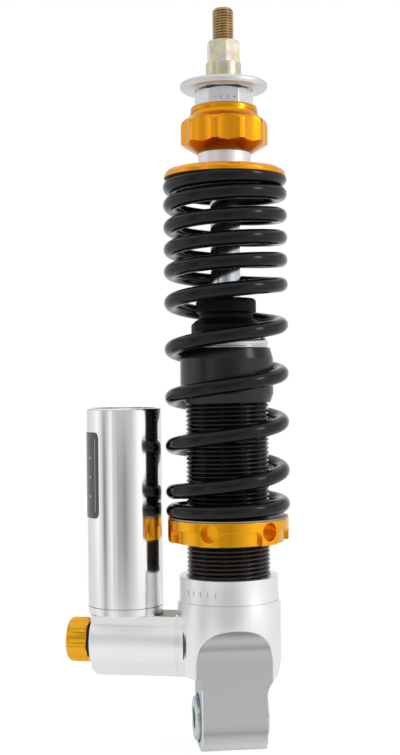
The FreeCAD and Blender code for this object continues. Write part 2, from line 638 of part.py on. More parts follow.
# The barrel and its bores.
barrel = new_sketch(housing, "YZ_Plane", upright("block_angle", "barrel_start"))
ring(barrel, "0", "barrel_height", "barrel_diameter")
padded(housing, barrel, "barrel_end - barrel_start")
turned(housing, [
    ("0", "sump_floor"),
    ("sump_diameter / 2", "sump_floor"),
    ("sump_diameter / 2", "socket_floor"),
    ("tube_diameter / 2 + running", "socket_floor"),
    ("tube_diameter / 2 + running", "housing_rim + 1"),
    ("0", "housing_rim + 1")], groove=True)
bore = new_sketch(housing, "YZ_Plane", upright("block_angle", "barrel_end"))
ring(bore, "0", "barrel_height", "barrel_bore")
pocketed(housing, bore, "barrel_bore_depth")
BORE_FLOOR = "(barrel_end - barrel_bore_depth)"
passage = new_sketch(housing, "YZ_Plane", upright("block_angle", BORE_FLOOR))
ring(passage, "0", "barrel_height", "passage_diameter")
pocketed(housing, passage, BORE_FLOOR + " - sump_diameter / 2 + 2")
spigot_hole = new_sketch(housing, "XY_Plane", level("web_head", "block_angle"))
ring(spigot_hole, "reservoir_offset", "0", "base_spigot + 2 * running")
pocketed(housing, spigot_hole, "web_head - barrel_height")
eye = new_sketch(housing, "YZ_Plane")
ring(eye, "0", "0", "eye_bore")
pocketed(housing, eye, "lug_width + 2", midplane=True)
parts.append(housing)

# Damper tube: black anodised, screwed into the housing. The spring perch runs on its thread.
damper_tube = new_body("damper_tube")
turned(damper_tube, [
    ("tube_bore / 2", "socket_floor"),
    ("tube_diameter / 2 - tube_chamfer", "socket_floor"),
    ("tube_diameter / 2", "socket_floor + tube_chamfer"),
    ("tube_diameter / 2", "tube_top"),
    ("tube_bore / 2", "tube_top")])
parts.append(damper_tube)

# Guide sleeve: screwed on the tube's end, it keeps the spring off the tube.
SLEEVE_FOOT = "(tube_top - sleeve_length)"
guide_sleeve = new_body("guide_sleeve")
turned(guide_sleeve, [
    ("tube_diameter / 2 + running", SLEEVE_FOOT),
    ("sleeve_end_diameter / 2", SLEEVE_FOOT),
    ("sleeve_diameter / 2", SLEEVE_FOOT + " + sleeve_foot_bevel"),
    ("sleeve_diameter / 2", "tube_top - sleeve_top_bevel"),
    ("sleeve_end_diameter / 2", "tube_top"),
    ("tube_diameter / 2 + running", "tube_top")])
parts.append(guide_sleeve)


def o_ring_groove(radius, height):
    """Corners of an O-ring's groove in an outer wall, read upwards."""
    half = "(ring_wire / 2 + running)"
    floor = "%s - ring_wire - running" % radius
    return [(radius, "%s - %s" % (height, half)), (floor, "%s - %s" % (height, half)),
            (floor, "%s + %s" % (height, half)), (radius, "%s + %s" % (height, half))]


# Seal head: closes the tube and carries the rod's bush, seal and wiper.
HEAD_RING = "(%s + head_depth / 2)" % HEAD_FOOT
WIPER_FOOT = "(%s - wiper_height)" % HEAD_TOP
SEAL_FOOT = "(%s - seal_height)" % WIPER_FOOT
BUSH_HEAD = "(%s + rod_bush_length)" % HEAD_FOOT
seal_head = new_body("seal_head")
turned(seal_head, [
    ("rod_bush_diameter / 2", HEAD_FOOT),
    ("tube_bore / 2 - running", HEAD_FOOT)]
    + o_ring_groove("tube_bore / 2 - running", HEAD_RING) + [
    ("tube_bore / 2 - running", "tube_top"),
    ("head_foot_diameter / 2", "tube_top"),
    ("head_top_diameter / 2", HEAD_TOP),
    ("wiper_diameter / 2", HEAD_TOP),
    ("wiper_diameter / 2", WIPER_FOOT),
    ("seal_diameter / 2", WIPER_FOOT),
    ("seal_diameter / 2", SEAL_FOOT),
    ("rod_diameter / 2 + loose", SEAL_FOOT),
    ("rod_diameter / 2 + loose", BUSH_HEAD),
    ("rod_bush_diameter / 2", BUSH_HEAD)])
parts.append(seal_head)
parts.append(rubber_ring("head_o_ring", "tube_bore / 2 - running - ring_wire / 2", HEAD_RING))
ROD_FIT = "rod_diameter + 2 * running"
parts.append(tube("rod_bush", ROD_FIT, "rod_bush_diameter", HEAD_FOOT, BUSH_HEAD))
parts.append(tube("rod_seal", ROD_FIT, "seal_diameter", SEAL_FOOT, WIPER_FOOT))
parts.append(tube("rod_wiper", ROD_FIT, "wiper_diameter", WIPER_FOOT, HEAD_TOP))

# Bump stop: a rubber stop with two rings, pushed down the rod onto the seal head.
bump_stop = new_body("bump_stop")
BUMPER_RING = "(%s + bumper_ring_height)" % HEAD_TOP
BUMPER_HEAD = "(%s + bumper_height)" % HEAD_TOP
turned(bump_stop, [
    ("rod_diameter / 2 + loose", HEAD_TOP),
    ("bumper_diameter / 2 - bumper_edge", HEAD_TOP),
    ("bumper_diameter / 2", HEAD_TOP + " + bumper_edge"),
    ("bumper_diameter / 2", BUMPER_RING + " - 2 * bumper_edge"),
    ("bumper_diameter / 2 - 2 * bumper_edge", BUMPER_RING),
    ("bumper_neck_diameter / 2", BUMPER_RING + " + bumper_edge"),
    ("bumper_neck_diameter / 2", BUMPER_RING + " + bumper_groove"),
    ("bumper_top_diameter / 2", BUMPER_RING + " + bumper_groove + bumper_edge"),
    ("bumper_top_diameter / 2", BUMPER_HEAD + " - 2 * bumper_edge"),
    ("bumper_top_diameter / 2 - 2 * bumper_edge", BUMPER_HEAD, "2 * bumper_edge", 1),
    ("rod_diameter / 2 + loose", BUMPER_HEAD)])
parts.append(bump_stop)

# Slip washer: lets the collar turn under the spring.
parts.append(tube("thrust_washer", "tube_diameter + 2 * loose", "thrust_diameter", COLLAR_HEAD, SPRING_FOOT))

# Preload collar: screws up and down the tube's thread, turned with a pin spanner.
collar = new_body("preload_collar")
turned(collar, [
    ("tube_diameter / 2 + running", "collar_foot"),
    ("collar_diameter / 2 - collar_edge", "collar_foot"),
    ("collar_diameter / 2", "collar_foot + collar_edge"),
    ("collar_diameter / 2", COLLAR_HEAD + " - collar_edge"),
    ("collar_diameter / 2 - collar_edge", COLLAR_HEAD),
    ("tube_diameter / 2 + running", COLLAR_HEAD)])
RECESS_TURN = "(boss_angle + 180 / boss_count)"
RECESS_HEAD = "(collar_foot + recess_height)"
recess = new_sketch(collar, "XZ_Plane", upright(RECESS_TURN))
draw(recess, [
    ("collar_diameter / 2 - recess_depth", "collar_foot - 1"),
    ("collar_diameter / 2 + 1", "collar_foot - 1"),
    ("collar_diameter / 2 + 1", RECESS_HEAD),
    ("collar_diameter / 2 - recess_depth", RECESS_HEAD)])
recess_cut = collar.newObject("PartDesign::Groove", "recess_cut")
recess_cut.Profile = recess
recess_cut.ReferenceAxis = (recess, ["V_Axis"])
bind(recess_cut, "Angle", "360 deg / boss_count - 2 * asin(boss_width / collar_diameter)")
recess_cut.Midplane = True
finish(collar, recess_cut, True)
pin_hole = new_sketch(collar, "YZ_Plane", upright("boss_angle", "collar_diameter / 2"))
ring(pin_hole, "0", "collar_foot + spanner_hole_height", "spanner_hole")
pin_hole_cut = pocketed(collar, pin_hole, "spanner_hole_depth")
repeated(collar, [recess_cut, pin_hole_cut], "boss_count")


def recess_corner_edge(start, end):
    """True for the radial edges where a recess's ceiling meets a boss."""
    ceiling = number(RECESS_HEAD)
    level = abs(start.z - ceiling) < 1e-3 and abs(end.z - ceiling) < 1e-3
    depth = abs(math.hypot(start.x, start.y) - math.hypot(end.x, end.y))
    return level and abs(depth - number("recess_depth")) < 1e-3


filleted(collar, recess_corner_edge, "recess_corner")
parts.append(collar)


def spring_pitch(turn):
    """Rise per turn of the coil: closed ends, a wide lower part and a close upper part."""
    knots = [(-1.0, 5.6), (0.4, 6.0), (0.8, 12.0), (1.35, number("spring_wide_pitch")),
             (4.55, number("spring_wide_pitch")), (6.0, number("spring_close_pitch")),
             (9.5, number("spring_close_pitch")), (10.0, 7.0), (12.0, 6.2)]
    for (turn_a, pitch_a), (turn_b, pitch_b) in zip(knots, knots[1:]):
        if turn <= turn_b:
            return pitch_a + (pitch_b - pitch_a) * (turn - turn_a) / (turn_b - turn_a)
    return knots[-1][1]


def spring_heights(steps_per_turn):
    """Heights of the wire's centre at even steps, from the ground foot to the ground head."""
    turns = [number("spring_first_turn") + place / steps_per_turn for place in range(
        round((number("spring_last_turn") - number("spring_first_turn")) * steps_per_turn) + 1)]
    rises = [0.0]
    for turn_a, turn_b in zip(turns, turns[1:]):
        rises.append(rises[-1] + (turn_b - turn_a) * (spring_pitch(turn_a) + 4 * spring_pitch(
            (turn_a + turn_b) / 2) + spring_pitch(turn_b)) / 6)
    foot = number(SPRING_FOOT) + number("foot_ground")
    head = number(SEAT_FOOT) + number("head_ground")
    stretch = (head - foot) / rises[-1]
    return turns, [foot + rise * stretch for rise in rises], stretch


def spring_wire():
    """The spring as one unbroken wire, with its two ends ground flat."""
    steps = 4
    turns, heights, stretch = spring_heights(steps)
    mean = number("spring_mean_diameter") / 2
    zero = number("spring_zero_angle")

    def point_at(turn, height):
        angle = math.radians(zero + 360 * turn)
        return Vector(mean * math.cos(angle), mean * math.sin(angle), height)

    def tangent_at(turn):
        angle = math.radians(zero + 360 * turn)
        rise = spring_pitch(turn) * stretch / (2 * math.pi)
        return Vector(-mean * math.sin(angle), mean * math.cos(angle), rise).normalize()

    def half_way(start, tangent, end):
        chord = end - start
        side = (tangent - chord * (tangent.dot(chord) / chord.dot(chord))).normalize()
        return start + chord * 0.5 + side * (chord.Length / 2 * math.tan(tangent.getAngle(chord) / 2))

    edges = []
    for place in range(len(turns) - 1):
        start = point_at(turns[place], heights[place])
        end = point_at(turns[place + 1], heights[place + 1])
        leave = tangent_at(turns[place])
        arrive = tangent_at(turns[place + 1])
        span = end - start
        both = leave + arrive
        bend = 2 * (1 - leave.dot(arrive))
        reach = (-span.dot(both) + math.sqrt(span.dot(both)**2 + bend * span.dot(span))) / bend
        middle = (start + end + (leave - arrive) * reach) * 0.5
        edges.append(Part.Arc(start, half_way(start, leave, middle), middle).toShape())
        edges.append(Part.Arc(middle, half_way(end, arrive * -1, middle), end).toShape())
    path = Part.Wire(edges)
    profile = Part.Wire(Part.Circle(edges[0].Vertexes[0].Point, tangent_at(turns[0]),
                                    number("wire_diameter") / 2).toShape())
    sweep = Part.BRepOffsetAPI.MakePipeShell(path)
    sweep.add(profile)
    sweep.build()
    sweep.makeSolid()
    wire = sweep.shape()
    if wire.Volume < 0:
        wire.reverse()
    print("spring volume %.0f of %.0f" % (
        wire.Volume, math.pi * (number("wire_diameter") / 2)**2 * path.Length))
    least_gap(path, number("wire_diameter"))
    wide = number("spring_mean_diameter") + 2 * number("wire_diameter")
    slab = Part.makeBox(wide, wide, number("spring_length"),
                        Vector(-wide / 2, -wide / 2, number(SPRING_FOOT)))
    return wire.common(slab)


def least_gap(path, wire):
    """Prints the least gap between neighbouring coils, measured on points of the wire."""
    points = path.discretize(Number=1300)
    count = len(points)
    per_turn = round(count * math.pi * number("spring_mean_diameter") / path.Length)
    gap = min((points[first] - points[second]).Length - wire for first in range(count)
              for second in range(first + per_turn // 2, min(first + per_turn * 3 // 2, count)))
    print("least gap between coils %.2f mm" % gap)


# Main spring: 7 mm wire, wound wide below and close above.
main_spring = doc.addObject("Part::Feature", "main_spring")
main_spring.Label = "main_spring"
main_spring.Shape = spring_wire()
parts.append(main_spring)

# Upper spring seat: pushed up against the top mount's shoulder by the spring.
HUB_FOOT = "(%s - seat_hub_depth)" % SEAT_FOOT
CLIP_SEAT = "(%s + seat_recess_depth)" % HUB_FOOT
seat = new_body("top_spring_seat")
turned(seat, [
    ("mount_spigot / 2 + running", CLIP_SEAT),
    ("seat_recess_diameter / 2", CLIP_SEAT),
    ("seat_recess_diameter / 2", HUB_FOOT),
    ("seat_hub_diameter / 2 - 2 * seat_edge", HUB_FOOT),
    ("seat_hub_diameter / 2", HUB_FOOT + " + 2 * seat_edge"),
    ("seat_hub_diameter / 2", SEAT_FOOT),
    ("seat_diameter / 2 - seat_edge", SEAT_FOOT),
    ("seat_diameter / 2", SEAT_FOOT + " + seat_edge"),
    ("seat_diameter / 2", SHOULDER + " - seat_edge"),
    ("seat_diameter / 2 - seat_edge", SHOULDER),
    ("mount_spigot / 2 + running", SHOULDER)])
notch = new_sketch(seat, "XY_Plane", level(SHOULDER))
draw(notch, [
    ("seat_diameter / 2 - notch_depth", "0 - notch_width / 2"),
    ("seat_diameter / 2 + 1", "0 - notch_width / 2"),
    ("seat_diameter / 2 + 1", "notch_width / 2"),
    ("seat_diameter / 2 - notch_depth", "notch_width / 2")])
notch_cut = pocketed(seat, notch, "notch_depth")
repeated(seat, [notch_cut], "notch_count")
parts.append(seat)


def hex_bevel(body, flats, bevel, head):
    """Takes the corners off a hexagon's top, as a turned blank has them."""
    corner = "(%s) / sqrt(3)" % flats
    turned(body, [
        ("(%s) / 2" % flats, head),
        (corner, "%s - %s" % (head, bevel)),
        (corner + " + 1", "%s - %s" % (head, bevel)),
        (corner + " + 1", head)], groove=True)


# Top mount: screwed on the rod. Round below, where the rebound knob turns, hexagon above.
mount = new_body("top_mount")
SPIGOT_FOOT = "(%s + 2 * running)" % HUB_FOOT
CLIP_HEAD = "(%s - running)" % CLIP_SEAT
CLIP_FOOT = "(%s - circlip_thickness)" % CLIP_HEAD
SNAP = "(%s + knob_groove_height)" % KNOB_FOOT
turned(mount, [
    ("0", SPIGOT_FOOT),
    ("mount_spigot / 2", SPIGOT_FOOT),
    ("mount_spigot / 2", CLIP_FOOT + " - running"),
    ("mount_spigot / 2 - clip_groove", CLIP_FOOT + " - running"),
    ("mount_spigot / 2 - clip_groove", CLIP_HEAD + " + running"),
    ("mount_spigot / 2", CLIP_HEAD + " + running"),
    ("mount_spigot / 2", SHOULDER),
    ("mount_diameter / 2", SHOULDER),
    ("mount_diameter / 2", SNAP + " - snap_wire / 2 - running"),
    ("mount_diameter / 2 - snap_wire / 2", SNAP + " - snap_wire / 2 - running"),
    ("mount_diameter / 2 - snap_wire / 2", SNAP + " + snap_wire / 2 + running"),
    ("mount_diameter / 2", SNAP + " + snap_wire / 2 + running"),
    ("mount_diameter / 2", HEX_FOOT),
    ("0", HEX_FOOT)])
mount_hexagon = new_sketch(mount, "XY_Plane", level(HEX_FOOT, "mount_hex_angle"))
draw(mount_hexagon, hexagon("mount_hex"))
padded(mount, mount_hexagon, "mount_hex_height")
hex_bevel(mount, "mount_hex", "mount_hex_bevel", HEX_HEAD)
turned(mount, [
    ("0", SPIGOT_FOOT + " - 1"),
    ("rod_diameter / 2 + running", SPIGOT_FOOT + " - 1"),
    ("rod_diameter / 2 + running", ROD_HEAD),
    ("mount_cavity / 2", ROD_HEAD),
    ("mount_cavity / 2", STUD_FOOT),
    (ENGAGED + " + running", STUD_FOOT),
    (ENGAGED + " + running", HEX_HEAD + " + 1"),
    ("0", HEX_HEAD + " + 1")], groove=True)
slot = new_sketch(mount, "YZ_Plane")
SLOT_SIDE = "(pin_diameter / 2 + 2 * running)"
SLOT_FOOT = "(%s - adjuster_travel)" % PIN
SLOT_HEAD = "(%s + adjuster_travel)" % PIN
draw(slot, [
    (SLOT_SIDE, SLOT_FOOT, SLOT_SIDE, 1),
    (SLOT_SIDE, SLOT_HEAD),
    ("0", "%s + %s" % (SLOT_HEAD, SLOT_SIDE), SLOT_SIDE, 1),
    ("0 - " + SLOT_SIDE, SLOT_HEAD, SLOT_SIDE, 1),
    ("0 - " + SLOT_SIDE, SLOT_FOOT),
    ("0", "%s - %s" % (SLOT_FOOT, SLOT_SIDE), SLOT_SIDE, 1)])
pocketed(mount, slot, "mount_diameter + 2", midplane=True)
CLICK = "(%s + knob_click_height)" % KNOB_FOOT
click_hole = new_sketch(mount, "XZ_Plane", upright("0", "mount_diameter / 2"))
ring(click_hole, "0", CLICK, "ball_diameter + 2 * running")
pocketed(mount, click_hole, "click_depth")
parts.append(mount)

# Circlip under the seat: it only holds the seat up while the spring is slack.
seat_circlip = new_body("seat_circlip")
turned(seat_circlip, [
    ("mount_spigot / 2 - clip_groove + running", CLIP_FOOT),
    ("mount_spigot / 2 + clip_width", CLIP_FOOT),
    ("mount_spigot / 2 + clip_width", CLIP_HEAD),
    ("mount_spigot / 2 - clip_groove + running", CLIP_HEAD)], angle="clip_turn")
parts.append(seat_circlip)

# Top stud, cup washer and sleeve nut: they clamp the vehicle's rubber mount. Where the stud is
# screwed in, both threads are drawn at the depth on which they carry.
STUD_HEAD = "(%s + stud_length)" % STUD_FOOT
stud = new_body("top_stud")
turned(stud, [
    ("0", STUD_FOOT),
    (ENGAGED + " - stud_chamfer", STUD_FOOT),
    (ENGAGED, STUD_FOOT + " + stud_chamfer"),
    (ENGAGED, NUT_HEAD + " + stud_relief"),
    ("stud_diameter / 2", NUT_HEAD + " + stud_relief"),
    ("stud_diameter / 2", STUD_HEAD + " - stud_chamfer"),
    ("stud_diameter / 2 - stud_chamfer", STUD_HEAD, "stud_chamfer", 1),
    ("0", STUD_HEAD)])
parts.append(stud)

cup_washer = new_body("cup_washer")
turned(cup_washer, [
    ("stud_diameter / 2 + 2 * running", HEX_HEAD),
    ("cup_diameter / 2 - cup_rounding", HEX_HEAD),
    ("cup_diameter / 2", HEX_HEAD + " + cup_rounding", "cup_rounding", 1),
    ("cup_diameter / 2", CUP_HEAD + " - cup_rounding"),
    ("cup_diameter / 2 - cup_rounding", CUP_HEAD, "cup_rounding", 1),
    ("nut_collar_diameter / 2 + loose", CUP_HEAD),
    ("nut_collar_diameter / 2 + loose", CUP_FLOOR),
    ("stud_diameter / 2 + 2 * running", CUP_FLOOR)])
parts.append(cup_washer)

nut = new_body("sleeve_nut")
turned(nut, [
    (ENGAGED + " + running", CUP_FLOOR),
    ("nut_collar_diameter / 2", CUP_FLOOR),
    ("nut_collar_diameter / 2", NUT_COLLAR_HEAD),
    (ENGAGED + " + running", NUT_COLLAR_HEAD)])
nut_hexagon = new_sketch(nut, "XY_Plane", level(NUT_COLLAR_HEAD, "nut_hex_angle"))
draw(nut_hexagon, hexagon("nut_hex"))
ring(nut_hexagon, "0", "0", "2 * %s + 2 * running" % ENGAGED)
padded(nut, nut_hexagon, "nut_hex_height")
hex_bevel(nut, "nut_hex", "nut_hex_bevel", NUT_HEAD)
parts.append(nut)

# Rebound knob: gold anodised, with finger scallops. Its thread lifts the ring inside.
knob = new_body("rebound_knob")
BAND_HEAD = "(%s + knob_cone_height + knob_band_height)" % KNOB_FOOT
KNOB_HEAD = "(%s + knob_height)" % KNOB_FOOT
RADII = "(knob_shoulder_radius + knob_flare_radius)"
FLARE_OUT = "(knob_collar_diameter / 2 - knob_diameter / 2 + %s)" % RADII
FLARE_UP = "sqrt(%s^2 - %s^2)" % (RADII, FLARE_OUT)
SHARE = "(knob_shoulder_radius / %s)" % RADII
LIP = "(mount_diameter / 2 + 2 * running)"
SNAP_GROOVE = "(mount_diameter / 2 + snap_wire / 2 + loose)"
CLICK_TRACK = "(mount_diameter / 2 - ball_set + ball_diameter / 2 + loose)"
turned(knob, [
    (LIP, KNOB_FOOT),
    ("knob_foot_diameter / 2", KNOB_FOOT),
    ("knob_diameter / 2", KNOB_FOOT + " + knob_cone_height"),
    ("knob_diameter / 2", BAND_HEAD),
    ("knob_diameter / 2 - knob_shoulder_radius + %s * %s" % (FLARE_OUT, SHARE),
     "%s + %s * %s" % (BAND_HEAD, FLARE_UP, SHARE), "knob_shoulder_radius", 1),
    ("knob_collar_diameter / 2", "%s + %s" % (BAND_HEAD, FLARE_UP), "knob_flare_radius", -1),
    ("knob_collar_diameter / 2", KNOB_HEAD + " - knob_rounding"),
    ("knob_collar_diameter / 2 - knob_rounding", KNOB_HEAD, "knob_rounding", 1),
    ("knob_thread / 2", KNOB_HEAD),
    ("knob_thread / 2", LIP_HEAD),
    (LIP, LIP_HEAD),
    (LIP, CLICK + " + ball_diameter / 2 + loose"),
    (CLICK_TRACK, CLICK + " + ball_diameter / 2 + loose"),
    (CLICK_TRACK, CLICK + " - ball_diameter / 2 - loose"),
    (LIP, CLICK + " - ball_diameter / 2 - loose"),
    (LIP, SNAP + " + snap_wire / 2 + loose"),
    (SNAP_GROOVE, SNAP + " + snap_wire / 2 + loose"),
    (SNAP_GROOVE, SNAP + " - snap_wire / 2 - loose"),
    (LIP, SNAP + " - snap_wire / 2 - loose")])
SCALLOP_OUT = "(knob_diameter / 2 - scallop_depth + scallop_radius)"
scallop = new_sketch(knob, "XY_Plane", level(KNOB_FOOT + " - 1", "scallop_angle"))
ring(scallop, SCALLOP_OUT, "0", "2 * scallop_radius")
scallop_cut = pocketed(knob, scallop, "knob_height + 2", forward=True)
repeated(knob, [scallop_cut], "scallop_count")
parts.append(knob)

# Snap ring that keeps the knob on the mount.
snap_ring = rubber_ring("knob_snap_ring", "mount_diameter / 2 + running", SNAP, wire="snap_wire")
bind(snap_ring, "Angle3", "clip_turn")
parts.append(snap_ring)

# Threaded ring, cross pin and metering rod: they rise and sink together in the mount.
adjuster_ring = tube("adjuster_ring", "mount_diameter + 4 * running", "knob_thread - 4 * running",
                     PIN + " - adjuster_ring_height / 2", PIN + " + adjuster_ring_height / 2")
ring_hole = new_sketch(adjuster_ring, "YZ_Plane")
ring(ring_hole, "0", PIN, "pin_diameter + 2 * running")
pocketed(adjuster_ring, ring_hole, "knob_thread + 2", midplane=True)
parts.append(adjuster_ring)

cross_pin = new_body("cross_pin")
PIN_END = "(knob_thread / 2 - loose)"
turned(cross_pin, [
    ("0", "0 - " + PIN_END),
    ("pin_diameter / 2", "0 - " + PIN_END),
    ("pin_diameter / 2", PIN_END),
    ("0", PIN_END)])
bind(cross_pin, "Placement", "placement(vector(0; 0; %s); rotation(0; 90; 0))" % PIN)
parts.append(cross_pin)

metering_rod = new_body("metering_rod")
turned(metering_rod, [
    ("0", ROD_FOOT + " + needle_tip"),
    ("needle_diameter / 2", ROD_FOOT + " + 2 * needle_tip"),
    ("needle_diameter / 2", PIN + " - needle_head / 2"),
    ("needle_head / 2", PIN + " - needle_head / 2"),
    ("needle_head / 2", PIN + " + needle_head / 2"),
    ("0", PIN + " + needle_head / 2")])
rod_hole = new_sketch(metering_rod, "YZ_Plane")
ring(rod_hole, "0", PIN, "pin_diameter + 2 * running")
pocketed(metering_rod, rod_hole, "needle_head + 2", midplane=True)
parts.append(metering_rod)


def ball(label):
    """One click ball of an adjuster."""
    sphere = doc.addObject("Part::Sphere", label)
    sphere.Label = label
    bind(sphere, "Radius", "ball_diameter / 2")
    return sphere


BALL_OUT = "(mount_diameter / 2 - ball_set)"
CLICK_FLOOR = "(mount_diameter / 2 - click_depth)"
click_ball = ball("rebound_click_ball")
bind(click_ball, "Placement", "placement(vector(0; 0 - %s; %s); rotation(0; 0; 0))" % (BALL_OUT, CLICK))
parts.append(click_ball)
click_spring = tube("rebound_click_spring", "ball_diameter / 2", "ball_diameter - 4 * running",
                    CLICK_FLOOR, BALL_OUT + " - ball_diameter / 2")
bind(click_spring, "Placement", "placement(vector(0; 0; %s); rotation(0; 0; 90))" % CLICK)
parts.append(click_spring)

# Piston rod: hard chromed and drilled through for the metering rod.
rod = new_body("piston_rod")
turned(rod, [
    ("rod_bore / 2", ROD_FOOT),
    ("spigot_diameter / 2", ROD_FOOT),
    ("spigot_diameter / 2", ROD_SHOULDER),
    ("rod_diameter / 2", ROD_SHOULDER),
    ("rod_diameter / 2", ROD_HEAD),
    ("rod_bore / 2", ROD_HEAD)])
parts.append(rod)

# Piston with its shims, held on the rod by a nut, and the rubber ring that ends the stroke.
SPIGOT_FIT = "spigot_diameter + 2 * running"
parts.append(tube("topout_ring", ROD_FIT, "washer_diameter", ROD_SHOULDER, ROD_SHOULDER + " + topout_height"))
parts.append(tube("topout_washer", SPIGOT_FIT, "washer_diameter", SHIMS_HEAD, ROD_SHOULDER))


def shims(face, away):
    """The shims on one face of the piston, largest first: their diameters, feet and heads."""
    stack = []
    for place in range(SHIM_COUNT):
        near = "(%s %s %d * shim_thickness)" % (face, away, place)
        far = "(%s %s %d * shim_thickness)" % (face, away, place + 1)
        foot, head = (near, far) if away == "+" else (far, near)
        stack.append(("shim_diameter - %d * shim_step" % place, foot, head))
    return stack


parts.append(disc_stack("compression_shims", SPIGOT_FIT, shims(PISTON_HEAD, "+")))
piston = new_body("piston")
BAND_MIDDLE = "(%s - piston_height / 2)" % PISTON_HEAD
BAND_FLOOR = "tube_bore / 2 - running - band_thickness"
turned(piston, [
    ("spigot_diameter / 2 + running", PISTON_FOOT),
    ("piston_diameter / 2", PISTON_FOOT),
    ("piston_diameter / 2", BAND_MIDDLE + " - band_height / 2 - running"),
    (BAND_FLOOR + " - running", BAND_MIDDLE + " - band_height / 2 - running"),
    (BAND_FLOOR + " - running", BAND_MIDDLE + " + band_height / 2 + running"),
    ("piston_diameter / 2", BAND_MIDDLE + " + band_height / 2 + running"),
    ("piston_diameter / 2", PISTON_HEAD),
    ("spigot_diameter / 2 + running", PISTON_HEAD)])
port = new_sketch(piston, "XY_Plane", level(PISTON_HEAD + " + 1"))
ring(port, "port_circle / 2", "0", "piston_port")
port_cut = pocketed(piston, port, "piston_height + 2")
repeated(piston, [port_cut], "port_count")
parts.append(piston)
parts.append(tube("piston_band", "tube_bore - 2 * running - 2 * band_thickness", "tube_bore - 2 * running",
                  BAND_MIDDLE + " - band_height / 2", BAND_MIDDLE + " + band_height / 2"))
parts.append(disc_stack("rebound_shims", SPIGOT_FIT, shims(PISTON_FOOT, "-")))
parts.append(tube("shim_washer", SPIGOT_FIT, "shim_washer_diameter", NUT_TOP, NUT_WASHER_HEAD))
piston_nut = new_body("piston_nut")
piston_hexagon = new_sketch(piston_nut, "XY_Plane", level(NUT_FOOT))
draw(piston_hexagon, hexagon("nut_flats"))
ring(piston_hexagon, "0", "0", SPIGOT_FIT)
padded(piston_nut, piston_hexagon, "nut_height")
parts.append(piston_nut)

# Reservoir base: screwed into the block, it feeds the tube through its spigot.
base = new_body("reservoir_base")
BASE_HEAD = "(reservoir_seam + base_neck)"
turned(base, [
    ("passage_diameter / 2", "web_head - base_spigot_length"),
    ("base_spigot / 2", "web_head - base_spigot_length"),
    ("base_spigot / 2", "web_head"),
    ("reservoir_diameter / 2 - base_bevel_width", "web_head"),
    ("reservoir_diameter / 2", "web_head + base_bevel_height"),
    ("reservoir_diameter / 2", "reservoir_seam"),
    ("reservoir_bore / 2 - running", "reservoir_seam"),
    ("reservoir_bore / 2 - running", BASE_HEAD),
    ("passage_diameter / 2", BASE_HEAD)])
at_reservoir(base)
parts.append(base)

# Reservoir tube: polished aluminium, with a groove for the end cap's circlip.
reservoir = new_body("reservoir_tube")
turned(reservoir, [
    ("reservoir_bore / 2", "reservoir_seam"),
    ("reservoir_diameter / 2", "reservoir_seam"),
    ("reservoir_diameter / 2", "reservoir_top - reservoir_rounding"),
    ("reservoir_diameter / 2 - reservoir_rounding", "reservoir_top", "reservoir_rounding", 1),
    ("reservoir_bore / 2", "reservoir_top"),
    ("reservoir_bore / 2", CAP_HEAD + " + circlip_thickness + running"),
    ("reservoir_bore / 2 + clip_groove", CAP_HEAD + " + circlip_thickness + running"),
    ("reservoir_bore / 2 + clip_groove", CAP_HEAD),
    ("reservoir_bore / 2", CAP_HEAD)])
at_reservoir(reservoir)
parts.append(reservoir)

cap = new_body("reservoir_cap")
turned(cap, [
    ("valve_diameter / 2 + running", CAP_FOOT),
    ("reservoir_bore / 2 - running", CAP_FOOT)]
    + o_ring_groove("reservoir_bore / 2 - running", "(%s + cap_height / 2)" % CAP_FOOT) + [
    ("reservoir_bore / 2 - running", CAP_HEAD),
    ("valve_diameter / 2 + running", CAP_HEAD)])
at_reservoir(cap)
parts.append(cap)

valve = new_body("gas_valve")
turned(valve, [
    ("0", CAP_FOOT + " + valve_lip"),
    ("valve_diameter / 2", CAP_FOOT + " + valve_lip"),
    ("valve_diameter / 2", CAP_HEAD),
    ("valve_diameter / 2 + valve_lip", CAP_HEAD),
    ("valve_diameter / 2 + valve_lip", CAP_HEAD + " + valve_lip"),
    ("valve_diameter / 2 - valve_lip", CAP_HEAD + " + 2 * valve_lip"),
    ("0", CAP_HEAD + " + 2 * valve_lip")])
at_reservoir(valve)
parts.append(valve)

cap_circlip = new_body("reservoir_circlip")
turned(cap_circlip, [
    ("reservoir_bore / 2 - clip_width", CAP_HEAD + " + running / 2"),
    ("reservoir_bore / 2 + clip_groove - running", CAP_HEAD + " + running / 2"),
    ("reservoir_bore / 2 + clip_groove - running", CAP_HEAD + " + running / 2 + circlip_thickness"),
    ("reservoir_bore / 2 - clip_width", CAP_HEAD + " + running / 2 + circlip_thickness")], angle="clip_turn")
at_reservoir(cap_circlip)
parts.append(cap_circlip)

# Floating piston: parts the oil below from the nitrogen above.
floater = new_body("floating_piston")
FLOATER_MIDDLE = "(floater_foot + floater_height / 2)"
FLOATER_RADIUS = "reservoir_bore / 2 - 2 * running"
turned(floater, [
    ("0", "floater_foot"),
    (FLOATER_RADIUS, "floater_foot")]
    + o_ring_groove(FLOATER_RADIUS, FLOATER_MIDDLE) + [
    (FLOATER_RADIUS, "floater_foot + floater_height"),
    ("floater_cup / 2", "floater_foot + floater_height"),
    ("floater_cup / 2", "floater_foot + floater_floor"),
    ("0", "floater_foot + floater_floor")])
at_reservoir(floater)
parts.append(floater)
for label, radius, height in (
        ("cap_o_ring", "reservoir_bore / 2 - running", "(%s + cap_height / 2)" % CAP_FOOT),
        ("floater_o_ring", FLOATER_RADIUS, FLOATER_MIDDLE)):
    o_ring = rubber_ring(label, "%s - ring_wire / 2" % radius, height)
    at_reservoir(o_ring, height)
    parts.append(o_ring)

